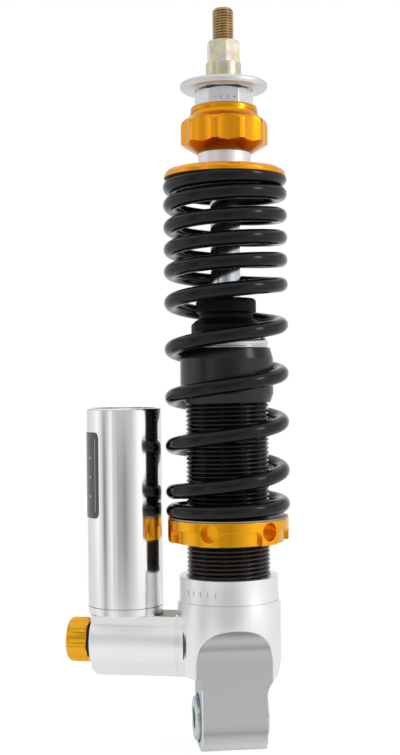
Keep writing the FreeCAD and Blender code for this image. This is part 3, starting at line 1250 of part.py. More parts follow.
# Compression cartridge: screwed into the barrel. The needle inside throttles the oil.
NOSE = "(%s + cartridge_setback)" % BORE_FLOOR
CHAMBER_FOOT = "(%s + nose_thickness)" % NOSE
CHAMBER_HEAD = "(barrel_end - gland_length)"
WAIST_FOOT = "(%s + waist_foot)" % CHAMBER_FOOT
cartridge = new_body("compression_cartridge")
turned(cartridge, [
    ("orifice_diameter / 2", NOSE),
    ("barrel_bore / 2 - running", NOSE),
    ("barrel_bore / 2 - running", WAIST_FOOT),
    ("waist_diameter / 2", WAIST_FOOT),
    ("waist_diameter / 2", WAIST_FOOT + " + waist_length"),
    ("barrel_bore / 2 - running", WAIST_FOOT + " + waist_length")]
    + o_ring_groove("barrel_bore / 2 - running", "(barrel_end - gland_length / 2)") + [
    ("barrel_bore / 2 - running", "barrel_end"),
    ("cartridge_flange / 2", "barrel_end"),
    ("cartridge_flange / 2", FLANGE_HEAD),
    ("stem_diameter / 2 + running", FLANGE_HEAD),
    ("stem_diameter / 2 + running", CHAMBER_HEAD),
    ("chamber_diameter / 2", CHAMBER_HEAD),
    ("chamber_diameter / 2", CHAMBER_FOOT),
    ("orifice_diameter / 2", CHAMBER_FOOT)])
dial_click = new_sketch(cartridge, "XY_Plane", level(FLANGE_HEAD))
ring(dial_click, "dial_click_radius", "0", "ball_diameter + 2 * running")
pocketed(cartridge, dial_click, "click_depth")
oil_way = new_sketch(cartridge, "XZ_Plane")
ring(oil_way, "0", WAIST_FOOT + " + oil_hole", "oil_hole")
pocketed(cartridge, oil_way, "barrel_bore", midplane=True)
at_barrel(cartridge)
parts.append(cartridge)
cartridge_ring = rubber_ring("cartridge_o_ring", "barrel_bore / 2 - running - ring_wire / 2", "0")
at_barrel(cartridge_ring, "barrel_end - gland_length / 2")
parts.append(cartridge_ring)

# Adjuster screw and needle: the knob turns the screw, whose thread moves the needle.
SCREW_FOOT = "(%s - screw_collar - 4 * running)" % CHAMBER_HEAD
DIAL_FLOOR = "(%s + ball_diameter / 2 - ball_set + loose)" % FLANGE_HEAD
DIAL_HEAD = "(%s + dial_length)" % DIAL_FOOT
SCREW_HEAD = "(%s - dial_wall)" % DIAL_HEAD
screw = new_body("compression_screw")
turned(screw, [
    ("tail_diameter / 2 + running", SCREW_FOOT),
    ("chamber_diameter / 2 - 2 * running", SCREW_FOOT),
    ("chamber_diameter / 2 - 2 * running", SCREW_FOOT + " + screw_collar"),
    ("stem_diameter / 2", SCREW_FOOT + " + screw_collar"),
    ("stem_diameter / 2", SCREW_HEAD),
    ("0", SCREW_HEAD),
    ("0", SCREW_FOOT + " + tail_length + 1"),
    ("tail_diameter / 2 + running", SCREW_FOOT + " + tail_length + 1")])
at_barrel(screw)
parts.append(screw)

NEEDLE_HEAD = "(%s - needle_gap)" % SCREW_FOOT
needle = new_body("compression_needle")
turned(needle, [
    ("0", CHAMBER_FOOT + " + needle_gap"),
    ("orifice_diameter / 2", CHAMBER_FOOT + " + needle_gap + needle_cone"),
    ("orifice_diameter / 2", CHAMBER_FOOT + " + needle_gap + 2 * needle_cone"),
    ("chamber_diameter / 2 - running", CHAMBER_FOOT + " + needle_gap + 2 * needle_cone"),
    ("chamber_diameter / 2 - running", NEEDLE_HEAD),
    ("tail_diameter / 2", NEEDLE_HEAD),
    ("tail_diameter / 2", NEEDLE_HEAD + " + tail_length"),
    ("0", NEEDLE_HEAD + " + tail_length")])
at_barrel(needle)
parts.append(needle)

# Compression knob: gold anodised, scalloped, hollow towards the barrel.
dial = new_body("compression_knob")
turned(dial, [
    ("cartridge_flange / 2 + loose", DIAL_FOOT),
    ("dial_diameter / 2 - dial_edge", DIAL_FOOT),
    ("dial_diameter / 2", DIAL_FOOT + " + dial_edge"),
    ("dial_diameter / 2", DIAL_HEAD + " - dial_rounding"),
    ("dial_diameter / 2 - dial_rounding", DIAL_HEAD, "dial_rounding", 1),
    ("0", DIAL_HEAD),
    ("0", SCREW_HEAD),
    ("stem_diameter / 2", SCREW_HEAD),
    ("stem_diameter / 2", DIAL_FLOOR),
    ("cartridge_flange / 2 + loose", DIAL_FLOOR)])
dial_scallop = new_sketch(dial, "XY_Plane", level(DIAL_FOOT + " - 1"))
DIAL_SCALLOP_OUT = "(dial_diameter / 2 - dial_scallop_depth + dial_scallop_radius)"
ring(dial_scallop, DIAL_SCALLOP_OUT, "0", "2 * dial_scallop_radius")
dial_scallop_cut = pocketed(dial, dial_scallop, "dial_length + 2", forward=True)
repeated(dial, [dial_scallop_cut], "dial_scallop_count")
at_barrel(dial)
parts.append(dial)

# The click ball of the compression knob lies in the cartridge's flange, on its own spring.
dial_ball = ball("compression_click_ball")
at_barrel(dial_ball, FLANGE_HEAD + " - ball_set", "dial_click_radius")
parts.append(dial_ball)
dial_spring = tube("compression_click_spring", "ball_diameter / 2", "ball_diameter - 4 * running",
                   "0", "click_depth - ball_set - ball_diameter / 2")
at_barrel(dial_spring, FLANGE_HEAD + " - click_depth", "dial_click_radius")
parts.append(dial_spring)

# Every object has to be sound before anything is written.
doc.recompute()
for item in doc.Objects:
    if "Invalid" in item.State or "Error" in item.State:
        raise RuntimeError("%s is %s" % (item.Label, item.State))
for piece in parts:
    if piece.Shape.isNull() or not piece.Shape.isValid() or piece.Shape.Volume <= 0:
        raise RuntimeError("%s has no sound shape" % piece.Label)

os.makedirs("parts", exist_ok=True)
for piece in parts:
    piece.Shape.exportStep("parts/%s.step" % piece.Label)
    print("%-26s %2d solid %10.1f mm3" % (piece.Label, len(piece.Shape.Solids), piece.Shape.Volume))
print("%d nodes" % len(parts))
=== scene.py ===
"""The front coilover of a scooter as it stands in its photograph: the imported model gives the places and
most of the sizes, and this script adds the threads, the wound wire, the soft edges and the finishes."""
import json
import math

import bmesh
import bpy
import numpy as np
from mathutils import Matrix, Vector


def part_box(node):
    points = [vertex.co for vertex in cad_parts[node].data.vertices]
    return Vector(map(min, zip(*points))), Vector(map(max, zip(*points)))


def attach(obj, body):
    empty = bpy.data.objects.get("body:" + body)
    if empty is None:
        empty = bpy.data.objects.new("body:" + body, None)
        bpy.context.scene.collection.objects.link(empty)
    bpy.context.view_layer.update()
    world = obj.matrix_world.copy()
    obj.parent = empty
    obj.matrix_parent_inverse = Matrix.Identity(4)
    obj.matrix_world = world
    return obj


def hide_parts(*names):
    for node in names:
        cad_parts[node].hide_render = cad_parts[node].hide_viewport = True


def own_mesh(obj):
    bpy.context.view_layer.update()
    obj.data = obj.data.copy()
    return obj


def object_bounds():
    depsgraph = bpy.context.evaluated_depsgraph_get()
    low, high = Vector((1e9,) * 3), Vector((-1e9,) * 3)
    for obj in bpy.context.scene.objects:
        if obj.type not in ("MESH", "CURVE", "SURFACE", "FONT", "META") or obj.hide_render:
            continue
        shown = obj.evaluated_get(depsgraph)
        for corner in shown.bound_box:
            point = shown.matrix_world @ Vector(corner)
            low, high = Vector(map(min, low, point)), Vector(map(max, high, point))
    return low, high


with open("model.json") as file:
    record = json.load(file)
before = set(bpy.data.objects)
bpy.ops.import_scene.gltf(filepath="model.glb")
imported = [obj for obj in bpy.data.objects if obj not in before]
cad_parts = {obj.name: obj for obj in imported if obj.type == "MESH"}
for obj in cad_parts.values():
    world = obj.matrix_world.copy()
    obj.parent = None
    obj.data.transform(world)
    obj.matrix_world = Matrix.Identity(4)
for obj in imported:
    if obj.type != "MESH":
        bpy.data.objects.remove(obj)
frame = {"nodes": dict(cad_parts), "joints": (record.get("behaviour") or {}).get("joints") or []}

cad_low, cad_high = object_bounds()
nodes = frame["nodes"]
collection = bpy.context.scene.collection

# Camera: a long lens at the height of the reservoir's head, a little to the left of the shock. It aims
# past the damper's left side and is rolled by half a degree, as the photograph is.
photo_height = 755
focal_length_in_pixels = 1250
camera_data = bpy.data.cameras.new("camera")
camera_data.sensor_width = 36
camera_data.lens = focal_length_in_pixels / photo_height * camera_data.sensor_width
camera = bpy.data.objects.new("camera", camera_data)
camera.location = (-0.0817, -0.5813, 0.1584)
camera.rotation_euler = (math.radians(90.07), math.radians(0.615), math.radians(-6.775))
collection.objects.link(camera)
bpy.context.scene.camera = camera
bpy.context.scene.view_settings.view_transform = "Standard"


# Studio: a white tent, darker towards the camera, with one soft lamp high on the right. The polished
# reservoir shows the tent as upright bands, so its brightness is written by direction.
class Signal:
    """One value in a shader. A sum written with it adds the Math nodes that it needs."""

    def __init__(self, shader, socket):
        self.shader = shader
        self.socket = socket

    def math(self, operation, *others):
        return self.shader.math(operation, self, *others)

    def __add__(self, other):
        return self.math("ADD", other)

    def __sub__(self, other):
        return self.math("SUBTRACT", other)

    def __rsub__(self, other):
        return self.shader.math("SUBTRACT", other, self)

    def __mul__(self, other):
        return self.math("MULTIPLY", other)

    def __truediv__(self, other):
        return self.math("DIVIDE", other)

    def __pow__(self, other):
        return self.math("POWER", other)

    def __gt__(self, other):
        return self.math("GREATER_THAN", other)

    def __lt__(self, other):
        return self.math("LESS_THAN", other)

    def __or__(self, other):
        return self.math("MAXIMUM", other)

    __radd__ = __add__


class Shader:
    """The nodes of one material, or of the world."""

    def __init__(self, owner):
        owner.use_nodes = True
        self.tree = owner.node_tree
        self.tree.nodes.clear()

    def node(self, kind, settings=(), sockets=(), output=0):
        """Adds a node, with its settings first and then the values or links of its sockets."""
        made = self.tree.nodes.new(kind)
        for key, value in dict(settings).items():
            if key == "stops":
                elements = made.color_ramp.elements
                while len(elements) < len(value):
                    elements.new(1)
                for element, (place, shade) in zip(elements, value):
                    element.position = place
                    element.color = (shade, shade, shade, 1)
            else:
                setattr(made, key, value)
        for key, value in dict(sockets).items():
            if isinstance(value, Signal):
                self.tree.links.new(value.socket, made.inputs[key])
            elif made.inputs[key].type == "RGBA":
                made.inputs[key].default_value = (*value, 1)
            else:
                made.inputs[key].default_value = value
        return Signal(self, made.outputs[output]) if made.outputs else made

    def math(self, operation, *values):
        return self.node("ShaderNodeMath", {"operation": operation}, dict(enumerate(values)))

    def dot(self, vector, other):
        return self.node("ShaderNodeVectorMath", {"operation": "DOT_PRODUCT"}, {0: vector, 1: other}, "Value")

    def ramp(self, value, stops):
        return self.node("ShaderNodeValToRGB", {"stops": stops}, {"Fac": value})

    def mix(self, share, first, second, blend="MIX"):
        """Lays the second colour over the first."""
        return self.node("ShaderNodeMix", {"data_type": "RGBA", "blend_type": blend},
                         {0: share, 6: first, 7: second}, 2)

    def rise(self, value, start, end, top=1.0):
        """Goes softly from 0 where the value is start to top where it is end."""
        return self.node("ShaderNodeMapRange", {"interpolation_type": "SMOOTHSTEP"},
                         {"Value": value, "From Min": start, "From Max": end, "To Max": top})


# The tent's brightness by degrees from the camera's side, positive to the picture's right.
tent_shades = (
    (-180, 0.8), (-142, 0.7), (-104, 0.85), (-86, 1.08), (-68, 0.65), (-62, 0.22), (-56, 0.32),
    (-50, 0.65), (-37, 1.05), (-30, 0.6), (-24, 0.68), (-18, 0.42), (-6, 0.38), (0, 0.3), (6, 0.27),
    (12, 0.42), (24, 0.6), (37, 0.85), (43, 1.05), (57, 1.15), (75, 1.05), (95, 0.9), (180, 0.7))
# Upwards it changes by the sine of the elevation: the upper walls are light, the lowest are drawn
# towards one grey, and a darker seam runs round under the roof.
seam_shades = ((-1, 1), (0.27, 1), (0.33, 0.58), (0.45, 0.58), (0.54, 1), (1, 1))
upper_shade, lower_shade, roof_shade = [(shade,) * 3 for shade in (0.62, 0.74, 0.85)]
to_camera = Vector((camera.location.x, camera.location.y, 0)).normalized()
to_right = Vector((-to_camera.y, to_camera.x, 0))
world = bpy.data.worlds.new("tent")
bpy.context.scene.world = world
tent = Shader(world)
outwards = tent.node("ShaderNodeTexCoord", output="Generated")
upwards = tent.dot(outwards, (0, 0, 1))
round_tent = tent.math("ARCTAN2", tent.dot(outwards, to_right), tent.dot(outwards, to_camera))
walls = tent.ramp(round_tent / (2 * math.pi) + 0.5,
                  [(degrees / 360 + 0.5, shade) for degrees, shade in tent_shades])
walls = tent.mix(tent.rise(upwards, 0.04, 0.2), walls, upper_shade, "LIGHTEN")
walls = tent.mix(tent.rise(upwards, -0.05, -0.17, 0.5), walls, lower_shade)
roofed = tent.mix(tent.rise(upwards, 0.3, 0.7), walls, roof_shade)
seam = tent.ramp(upwards / 2 + 0.5, [(lift / 2 + 0.5, shade) for lift, shade in seam_shades])
light = tent.node("ShaderNodeBackground", {}, {"Color": tent.mix(1.0, roofed, seam, "MULTIPLY")})
white = tent.node("ShaderNodeBackground", {}, {"Color": (1, 1, 1)})
behind = tent.rise(tent.dot(outwards, to_camera), -0.8, -0.96)
mirrored = tent.node("ShaderNodeLightPath", output="Is Glossy Ray") * behind
seen = tent.node("ShaderNodeLightPath", output="Is Camera Ray") + tent.node(
    "ShaderNodeLightPath", output="Is Transmission Ray") + mirrored
tent.node("ShaderNodeOutputWorld", {}, {
    "Surface": tent.node("ShaderNodeMixShader", {}, {0: seen, 1: light, 2: white})})

lamp_width, lamp_height, lamp_distance = 0.3, 0.5, 1.3
lamp_radiance = 4.5
lamp_turn, lamp_lift = math.radians(66), math.radians(30)
lamp = bpy.data.lights.new("softbox_high", "AREA")
lamp.shape = "RECTANGLE"
lamp.size = lamp_width
lamp.size_y = lamp_height
lamp.energy = lamp_radiance * math.pi * lamp_width * lamp_height
to_lamp = (to_camera * math.cos(lamp_turn) + to_right * math.sin(lamp_turn)) * math.cos(lamp_lift)
to_lamp.z = math.sin(lamp_lift)
lamp_holder = bpy.data.objects.new("softbox_high", lamp)
lamp_holder.location = Vector((0, 0, (cad_low.z + cad_high.z) / 2)) + to_lamp * lamp_distance
lamp_holder.rotation_euler = to_lamp.to_track_quat("Z", "Y").to_euler()
collection.objects.link(lamp_holder)

# Floor: a pale sheet under the eye, as white as the tent to the camera, that keeps a faint shadow.
floor_reach = 0.3
floor_gap = 0.0001
floor_in_mirrors = 0.62
floor_glow_share, floor_glow = 0.86, 1.08
floor_mesh = bpy.data.meshes.new("floor")
floor_mesh.from_pydata([(x * floor_reach, y * floor_reach, cad_low.z - floor_gap)
                        for x, y in ((-1, -1), (1, -1), (1, 1), (-1, 1))], [], [(0, 1, 2, 3)])
floor = bpy.data.objects.new("floor", floor_mesh)
collection.objects.link(floor)
floor_paint = bpy.data.materials.new("floor_paint")
paint = Shader(floor_paint)
ray = paint.node("ShaderNodeLightPath", output="Is Camera Ray") + paint.node(
    "ShaderNodeLightPath", output="Is Glossy Ray") * floor_in_mirrors + paint.node(
    "ShaderNodeLightPath", output="Is Transmission Ray")
paint.node("ShaderNodeOutputMaterial", {}, {"Surface": paint.node("ShaderNodeMixShader", {}, {
    0: ray.math("MINIMUM", 1) * floor_glow_share,
    1: paint.node("ShaderNodeBsdfDiffuse", {}, {"Color": (0.8, 0.8, 0.8)}),
    2: paint.node("ShaderNodeEmission", {}, {"Color": (1, 1, 1), "Strength": floor_glow})})})
floor_mesh.materials.append(floor_paint)


# Lower housing: one aluminium forging with the lug, the tube's socket, the block and the adjuster's
# barrel. The body is turned, the block and the lug are milled, and nothing is polished.
def surface(name, colour, roughness, metallic=1.0, axis=(0, 0, 1), centre=(0, 0, 0), lines=0.0, mottle=0.0,
            grain=0.0, grain_size=0.0004, shift=0.0, tints=(), rounding=0.0, hollow_shade=0.0, hollow_shade_reach=0.006,
            painted_stripes=(), **plain):
    """A finish. Lines run round the axis as a lathe leaves them, mottle varies the gloss in patches,
    grain is a fine rough skin, shift varies the colour, tints are further colours that lie on it in
    patches as on zinc, rounding softens hard edges, the hollow shade darkens hollows and places near
    other parts as painted shade, and the painted stripes give painted light and shade that repeat round
    a level axis."""
    material = bpy.data.materials.new(name)
    shader = Shader(material)
    place = shader.node("ShaderNodeTexCoord", output="Object")
    offset = shader.node("ShaderNodeVectorMath", {"operation": "SUBTRACT"}, {0: place, 1: centre})
    reach = shader.dot(offset, axis)
    radius = (shader.dot(offset, offset) - reach * reach).math("ABSOLUTE") ** 0.5
    rings = shader.node("ShaderNodeTexNoise", {"noise_dimensions": "2D"}, {
        "Vector": shader.node("ShaderNodeCombineXYZ", {}, {0: reach, 1: radius}),
        "Scale": 2600, "Detail": 3, "Roughness": 0.65})
    patches = shader.node("ShaderNodeTexNoise", {}, {
        "Vector": place, "Scale": 90, "Detail": 4, "Roughness": 0.6})
    skin = shader.node("ShaderNodeTexNoise", {}, {"Vector": place, "Scale": 1 / grain_size, "Detail": 2})
    gloss = roughness + (patches - 0.5) * mottle * 2 + (rings - 0.5) * lines * 0.25
    tone = shader.mix((patches - 0.5) * shift * 2 + 0.5, [min(1, part * (1 - shift)) for part in colour],
                      [min(1, part * (1 + shift)) for part in colour])
    for place_of_tint, tint in enumerate(tints):
        cloud = shader.node("ShaderNodeTexNoise", {"noise_dimensions": "4D"}, {
            "Vector": place, "W": place_of_tint * 7, "Scale": 260, "Detail": 2})
        spot = shader.node("ShaderNodeMapRange", {}, {"Value": cloud, "From Min": 0.48, "From Max": 0.62})
        tone = shader.mix(spot, tone, tint)
    # Painted reflections: shades that repeat round a level axis, multiplied into the colour.
    if painted_stripes:
        count, first, shades = painted_stripes
        level = (-axis[1], axis[0], 0)
        turned_to = shader.math("ARCTAN2", shader.dot(offset, level), shader.dot(offset, (0, 0, 1)))
        share = (turned_to * (count / (2 * math.pi)) - first).math("FRACT")
        tone = shader.mix(1.0, tone, shader.ramp(share, shades), "MULTIPLY")
    # Painted shade: the colour darkens where ambient occlusion finds hollows and nearby parts.
    if hollow_shade:
        openness = shader.node("ShaderNodeAmbientOcclusion", {"samples": 6}, {"Distance": hollow_shade_reach}, "AO")
        tone = shader.mix(openness ** 0.8, [part * (1 - hollow_shade) for part in colour], tone)
    normal = {}
    if rounding:
        normal["Normal"] = shader.node("ShaderNodeBevel", {"samples": 6}, {"Radius": rounding})
    bump = shader.node("ShaderNodeBump", {}, {
        "Height": rings * lines + skin * grain, "Strength": 1, "Distance": 0.00006, **normal})
    principled = shader.node("ShaderNodeBsdfPrincipled", {}, {
        "Base Color": tone, "Roughness": gloss, "Metallic": metallic, "Normal": bump, **plain})
    shader.node("ShaderNodeOutputMaterial", {}, {"Surface": principled})
    return material


def dress(material, *names):
    """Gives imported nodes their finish."""
    for name in names:
        nodes[name].data.materials.clear()
        nodes[name].data.materials.append(material)


def carved(name, cutter_points, cutter_faces):
    """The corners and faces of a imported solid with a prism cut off."""
    shape = bmesh.new()
    shape.from_mesh(nodes[name].data)
    bmesh.ops.remove_doubles(shape, verts=shape.verts, dist=1e-7)
    mesh = bpy.data.meshes.new("uncut")
    shape.to_mesh(mesh)
    shape.free()
    body = bpy.data.objects.new("uncut", mesh)
    prism = bpy.data.meshes.new("cutter")
    prism.from_pydata(cutter_points, [], cutter_faces)
    cutter = bpy.data.objects.new("cutter", prism)
    collection.objects.link(body)
    collection.objects.link(cutter)
    cut = body.modifiers.new("cut", "BOOLEAN")
    cut.operation = "DIFFERENCE"
    cut.solver = "EXACT"
    cut.object = cutter
    bpy.context.view_layer.update()
    made = body.evaluated_get(bpy.context.evaluated_depsgraph_get()).to_mesh()
    corners = [vertex.co.copy() for vertex in made.vertices]
    faces = [tuple(face.vertices) for face in made.polygons]
    for scrap in (body, cutter):
        data = scrap.data
        bpy.data.objects.remove(scrap)
        bpy.data.meshes.remove(data)
    return corners, faces


def new_piece(name, vertices, faces, material, body, slot, stands_for=(), sharp=35):
    """A sound mesh with soft shading, except at edges sharper than so many degrees."""
    mesh = bpy.data.meshes.new(name)
    mesh.from_pydata([tuple(vertex) for vertex in vertices], [], faces)
    shape = bmesh.new()
    shape.from_mesh(mesh)
    bmesh.ops.remove_doubles(shape, verts=shape.verts, dist=1e-7)
    bmesh.ops.dissolve_degenerate(shape, edges=shape.edges, dist=1e-8)
    bmesh.ops.recalc_face_normals(shape, faces=shape.faces)
    shape.to_mesh(mesh)
    shape.free()
    mesh.shade_smooth()
    mesh.set_sharp_from_angle(angle=math.radians(sharp))
    mesh.materials.append(material)
    piece = bpy.data.objects.new(name, mesh)
    collection.objects.link(piece)
    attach(piece, body)
    if stands_for:
        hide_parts(*stands_for)
    return piece


block_angle = math.radians(163.5)
along_block = Vector((math.cos(block_angle), math.sin(block_angle), 0))
# Where the turned body, the block and its flank begin, so that each shows its own tool marks.
housing_foot, housing_height = -0.0133, 0.0667
turned_radius, neck_foot = 0.0238, 0.0536
block_start = 0.0243
flank_start, flank_radius, flank_foot = 0.0165, 0.0244, 0.018
web_head, shoulder_foot, shoulder_head = 0.0476, 0.0553, 0.0558
front_left, front_face, front_head = -0.01475, -0.0153, 0.0165
dull_silver, bright_silver = (0.7, 0.706, 0.725), (1, 1, 0.99)
# The colours of the painted shade and the painted highlight laid on the housing.
shaded_silver, painted_highlight_silver = (0.2, 0.165, 0.13), (1, 1, 1)
# Where the lug's cuts run out, painted light and shade make its tone lighter and darker with height,
# given in millimetres.
run_out_painted_shades = (
    (-13.3, 1), (-9.63, 1), (-7.5, 0.865), (-5.7, 0.78), (-4.76, 0.7), (-3.83, 0.58), (-1.96, 0.73),
    (0.71, 0.785), (33.39, 0.785), (35.26, 0.56), (37.33, 0.75), (39.13, 0.88), (40.99, 0.76), (42.79, 0.56))
housing_finish = bpy.data.materials.new("housing_aluminium_painted_light_and_shade")
metal = Shader(housing_finish)
spot = metal.node("ShaderNodeTexCoord", output="Object")
across, depth, height = [metal.dot(spot, axis) for axis in ((1, 0, 0), (0, 1, 0), (0, 0, 1))]
from_axis = (across * across + depth * depth) ** 0.5
along_barrel = metal.dot(spot, along_block)
beside_barrel = metal.dot(spot, (-along_block.y, along_block.x, 0))
is_flank = (along_barrel > flank_start) * (from_axis < flank_radius) * (height > flank_foot)
is_block = is_flank | (along_barrel > block_start)
is_turned = ((from_axis > turned_radius) | (height > neck_foot)) * (1 - is_block)
turning_rings = metal.node("ShaderNodeTexNoise", {"noise_dimensions": "1D"}, {
    "W": height, "Scale": 2400, "Detail": 3})
draw_lines = metal.node("ShaderNodeTexNoise", {"noise_dimensions": "2D"}, {
    "Vector": metal.node("ShaderNodeCombineXYZ", {}, {0: height, 1: beside_barrel}),
    "Scale": 1500, "Detail": 2, "Roughness": 0.7})
clouds = metal.node("ShaderNodeTexNoise", {}, {"Vector": spot, "Scale": 90, "Detail": 4})
fine_lines = metal.node("ShaderNodeMapRange", {}, {"Value": draw_lines, "From Min": 0.3, "From Max": 0.7})
tone = metal.mix(is_turned * 0.7 + is_block * (fine_lines * 0.2 + 0.8) + clouds * 0.1,
                 dull_silver, bright_silver)
# Painted light and shade on the lug, by height, where its cuts run out.
run_out_painted_shade = metal.ramp((height - housing_foot) / housing_height, [
    ((millimetres / 1000 - housing_foot) / housing_height, shade) for millimetres, shade in run_out_painted_shades])
tone = metal.mix((1 - is_turned) * (1 - is_block), tone, run_out_painted_shade, "MULTIPLY")
# Painted shade darkens the top of the web and the crease under the neck's shoulder.
web_top_shade = (height > web_head) * is_block * (from_axis > block_start)
shoulder_crease_shade = (height > shoulder_foot) * (height < shoulder_head) * (1 - is_block)
front_edge_highlight = (across < front_left) * (depth < front_face) * (height < front_head)
tone = metal.mix(web_top_shade * 0.85 + shoulder_crease_shade * 0.3, tone, shaded_silver)
# Painted highlight: a white line along the lug's front left edge.
tone = metal.mix(front_edge_highlight, tone, painted_highlight_silver)
relief = metal.node("ShaderNodeBump", {}, {
    "Height": turning_rings * is_turned * 0.12 + draw_lines * is_block * 0.6,
    "Strength": 1, "Distance": 0.00006,
    "Normal": metal.node("ShaderNodeBevel", {"samples": 6}, {"Radius": 0.00025})})
metal.node("ShaderNodeOutputMaterial", {}, {"Surface": metal.node("ShaderNodeBsdfPrincipled", {}, {
    "Base Color": tone, "Metallic": 1.0, "Normal": relief,
    "Roughness": 0.5 - is_turned * 0.12 - is_block * 0.08 + (clouds - 0.5) * 0.08})})

# On the bolt side one hollow cut runs from the lug up into the round body.
lug_side, lug_cut_foot = 0.01512, 0.0115
cove_radius, cove_foot, cove_reach = 0.016, 0.017, 0.0246
cutter_far = 0.04
cove_sweep = math.acos(1 - (cove_reach - lug_side) / cove_radius)
cove = [(lug_side, lug_cut_foot)] + [
    (lug_side + cove_radius * (1 - math.cos(angle)), cove_foot + cove_radius * math.sin(angle))
    for angle in np.linspace(0, cove_sweep, 25)]
cove += [(cutter_far, cove[-1][1]), (cutter_far, lug_cut_foot)]
cove_points = [(x, y, z) for y in (-cutter_far, cutter_far) for x, z in cove]
count = len(cove)
cove_faces = [tuple(range(count)), tuple(reversed(range(count, 2 * count)))] + [
    (place, place + count, (place + 1) % count + count, (place + 1) % count) for place in range(count)]
new_piece("milled_housing", *carved("lower_housing", cove_points, cove_faces), housing_finish, "lower_body",
          "milled_aluminium", ["lower_housing"])

# Strokes on the housing's neck: five short plain marks, each stamped into the aluminium with a small
# punch and dull at the bottom.
stroke_radius = 0.02315
stroke_first, stroke_step, stroke_count = -151.5, 9.6, 5
stroke_foot, stroke_head, stroke_width = 0.0592, 0.0616, 0.0004
cut_depth, stand_out = 0.0001, 0.00004
box_faces = ((0, 1, 2, 3), (4, 5, 6, 7), (0, 1, 5, 4), (1, 2, 6, 5), (2, 3, 7, 6), (3, 0, 4, 7))
half = stroke_width / 2 / stroke_radius
stroke_vertices, stroke_faces = [], []
for stroke in range(stroke_count):
    middle = math.radians(stroke_first + stroke_step * stroke)
    stroke_faces += [[8 * stroke + corner for corner in face] for face in box_faces]
    for radius in (stroke_radius - cut_depth, stroke_radius + stand_out):
        stroke_vertices += [
            (radius * math.cos(middle + side), radius * math.sin(middle + side), level) for side, level in (
                (-half, stroke_foot), (half, stroke_foot), (half, stroke_head), (-half, stroke_head))]
stamped = surface("stamped_mark", (0.4, 0.4, 0.41), 0.45, metallic=0.7)
new_piece("neck_strokes", stroke_vertices, stroke_faces, stamped, "lower_body", "milled_aluminium")


# Shadow at the barrel's root: where the barrel grows out of the round body, a thin dark sickle laid on
# the body is painted shadow in the hollow there.
def bar_faces(steps):
    """The long sides of a bar with four corners in each cross section."""
    return [(step * 4 + side, step * 4 + 4 + side, step * 4 + 4 + (side + 1) % 4, step * 4 + (side + 1) % 4)
            for step in range(steps) for side in range(4)]


body_radius = 0.0246
hollow_side, hollow_bulge = math.radians(201.3), math.radians(4.2)
hollow_middle, hollow_half = 0.0357, 0.0064
hollow_rows = 16
hollow_vertices = []
for row in range(hollow_rows + 1):
    share = row / hollow_rows * 2 - 1
    bulge = hollow_bulge * math.sqrt(1 - share * share)
    for turn, lift in ((0, -cut_depth), (bulge, -cut_depth), (bulge, stand_out), (0, stand_out)):
        radius, direction = body_radius + lift, hollow_side + turn
        hollow_vertices.append((radius * math.cos(direction), radius * math.sin(direction),
                                hollow_middle + share * hollow_half))
shadowed = surface("painted_hollow_shadow", (0.06, 0.06, 0.06), 0.5, metallic=0.5)
new_piece("barrel_root_shadow", hollow_vertices, bar_faces(hollow_rows), shadowed, "lower_body",
          "milled_aluminium")


# Bush of the lower eye: a zinc-plated steel sleeve with serrated ends in a rubber ring. The fork's
# bolt clamps the ends, and the teeth keep the sleeve from turning. The damper's seals and the bump
# stop are rubber too.
def rounded(corners, steps=4):
    """An outline of (radius, height) points. A corner with a third value gets an arc of that radius."""
    points = []
    for place, corner in enumerate(corners):
        here = np.array(corner[:2], float)
        if len(corner) == 2:
            points.append(here)
            continue
        back = np.array(corners[place - 1][:2], float) - here
        ahead = np.array(corners[(place + 1) % len(corners)][:2], float) - here
        back /= np.linalg.norm(back)
        ahead /= np.linalg.norm(ahead)
        half_angle = math.acos(np.clip(back @ ahead, -1, 1)) / 2
        middle = (back + ahead) / np.linalg.norm(back + ahead)
        centre = here + middle * corner[2] / math.sin(half_angle)
        start = here + back * corner[2] / math.tan(half_angle) - centre
        end = here + ahead * corner[2] / math.tan(half_angle) - centre
        spread = math.pi / 2 - half_angle
        for share in np.linspace(0, 1, steps + 1):
            spoke = start * math.sin((1 - share) * 2 * spread) + end * math.sin(share * 2 * spread)
            points.append(centre + spoke / math.sin(2 * spread))
    return points


def turned(name, outline, material, body, slot, stands_for=(), segments=96, shape=None, stand=None, sharp=35):
    """A closed outline turned about the Z axis. shape(angle, radius, height) may bend it further,
    and stand is where the finished form is placed."""
    outline = np.array(outline, float)
    angles = np.arange(segments) * 2 * math.pi / segments
    angle, radius = np.meshgrid(angles, outline[:, 0], indexing="ij")
    height = np.broadcast_to(outline[:, 1], radius.shape)
    if shape:
        radius, height = shape(angle, radius, height)
    points = np.stack([radius * np.cos(angle), radius * np.sin(angle), height + 0 * radius], -1)
    points = points.reshape(-1, 3)
    if stand:
        points = [stand @ Vector(point) for point in points]
    rows = len(outline)
    faces = [(column * rows + row, (column + 1) % segments * rows + row,
              (column + 1) % segments * rows + (row + 1) % rows, column * rows + (row + 1) % rows)
             for column in range(segments) for row in range(rows)]
    return new_piece(name, points, faces, material, body, slot, stands_for, sharp)


sleeve_low, sleeve_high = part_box("bush_sleeve")
sleeve_radius = (sleeve_high.z - sleeve_low.z) / 2
sleeve_end = sleeve_high.x + 0.0009
sleeve_bore, sleeve_bevel = 0.0051, 0.0008
tooth_count, tooth_depth = 40, 0.0004


def serrated(angle, radius, height):
    """Teeth on both ends of the sleeve."""
    tooth = np.abs((angle * tooth_count / (2 * math.pi)) % 1 - 0.5) * 2
    at_end = np.abs(height) > sleeve_end - 1e-5
    return radius, np.where(at_end, height - np.sign(height) * tooth * tooth_depth, height)


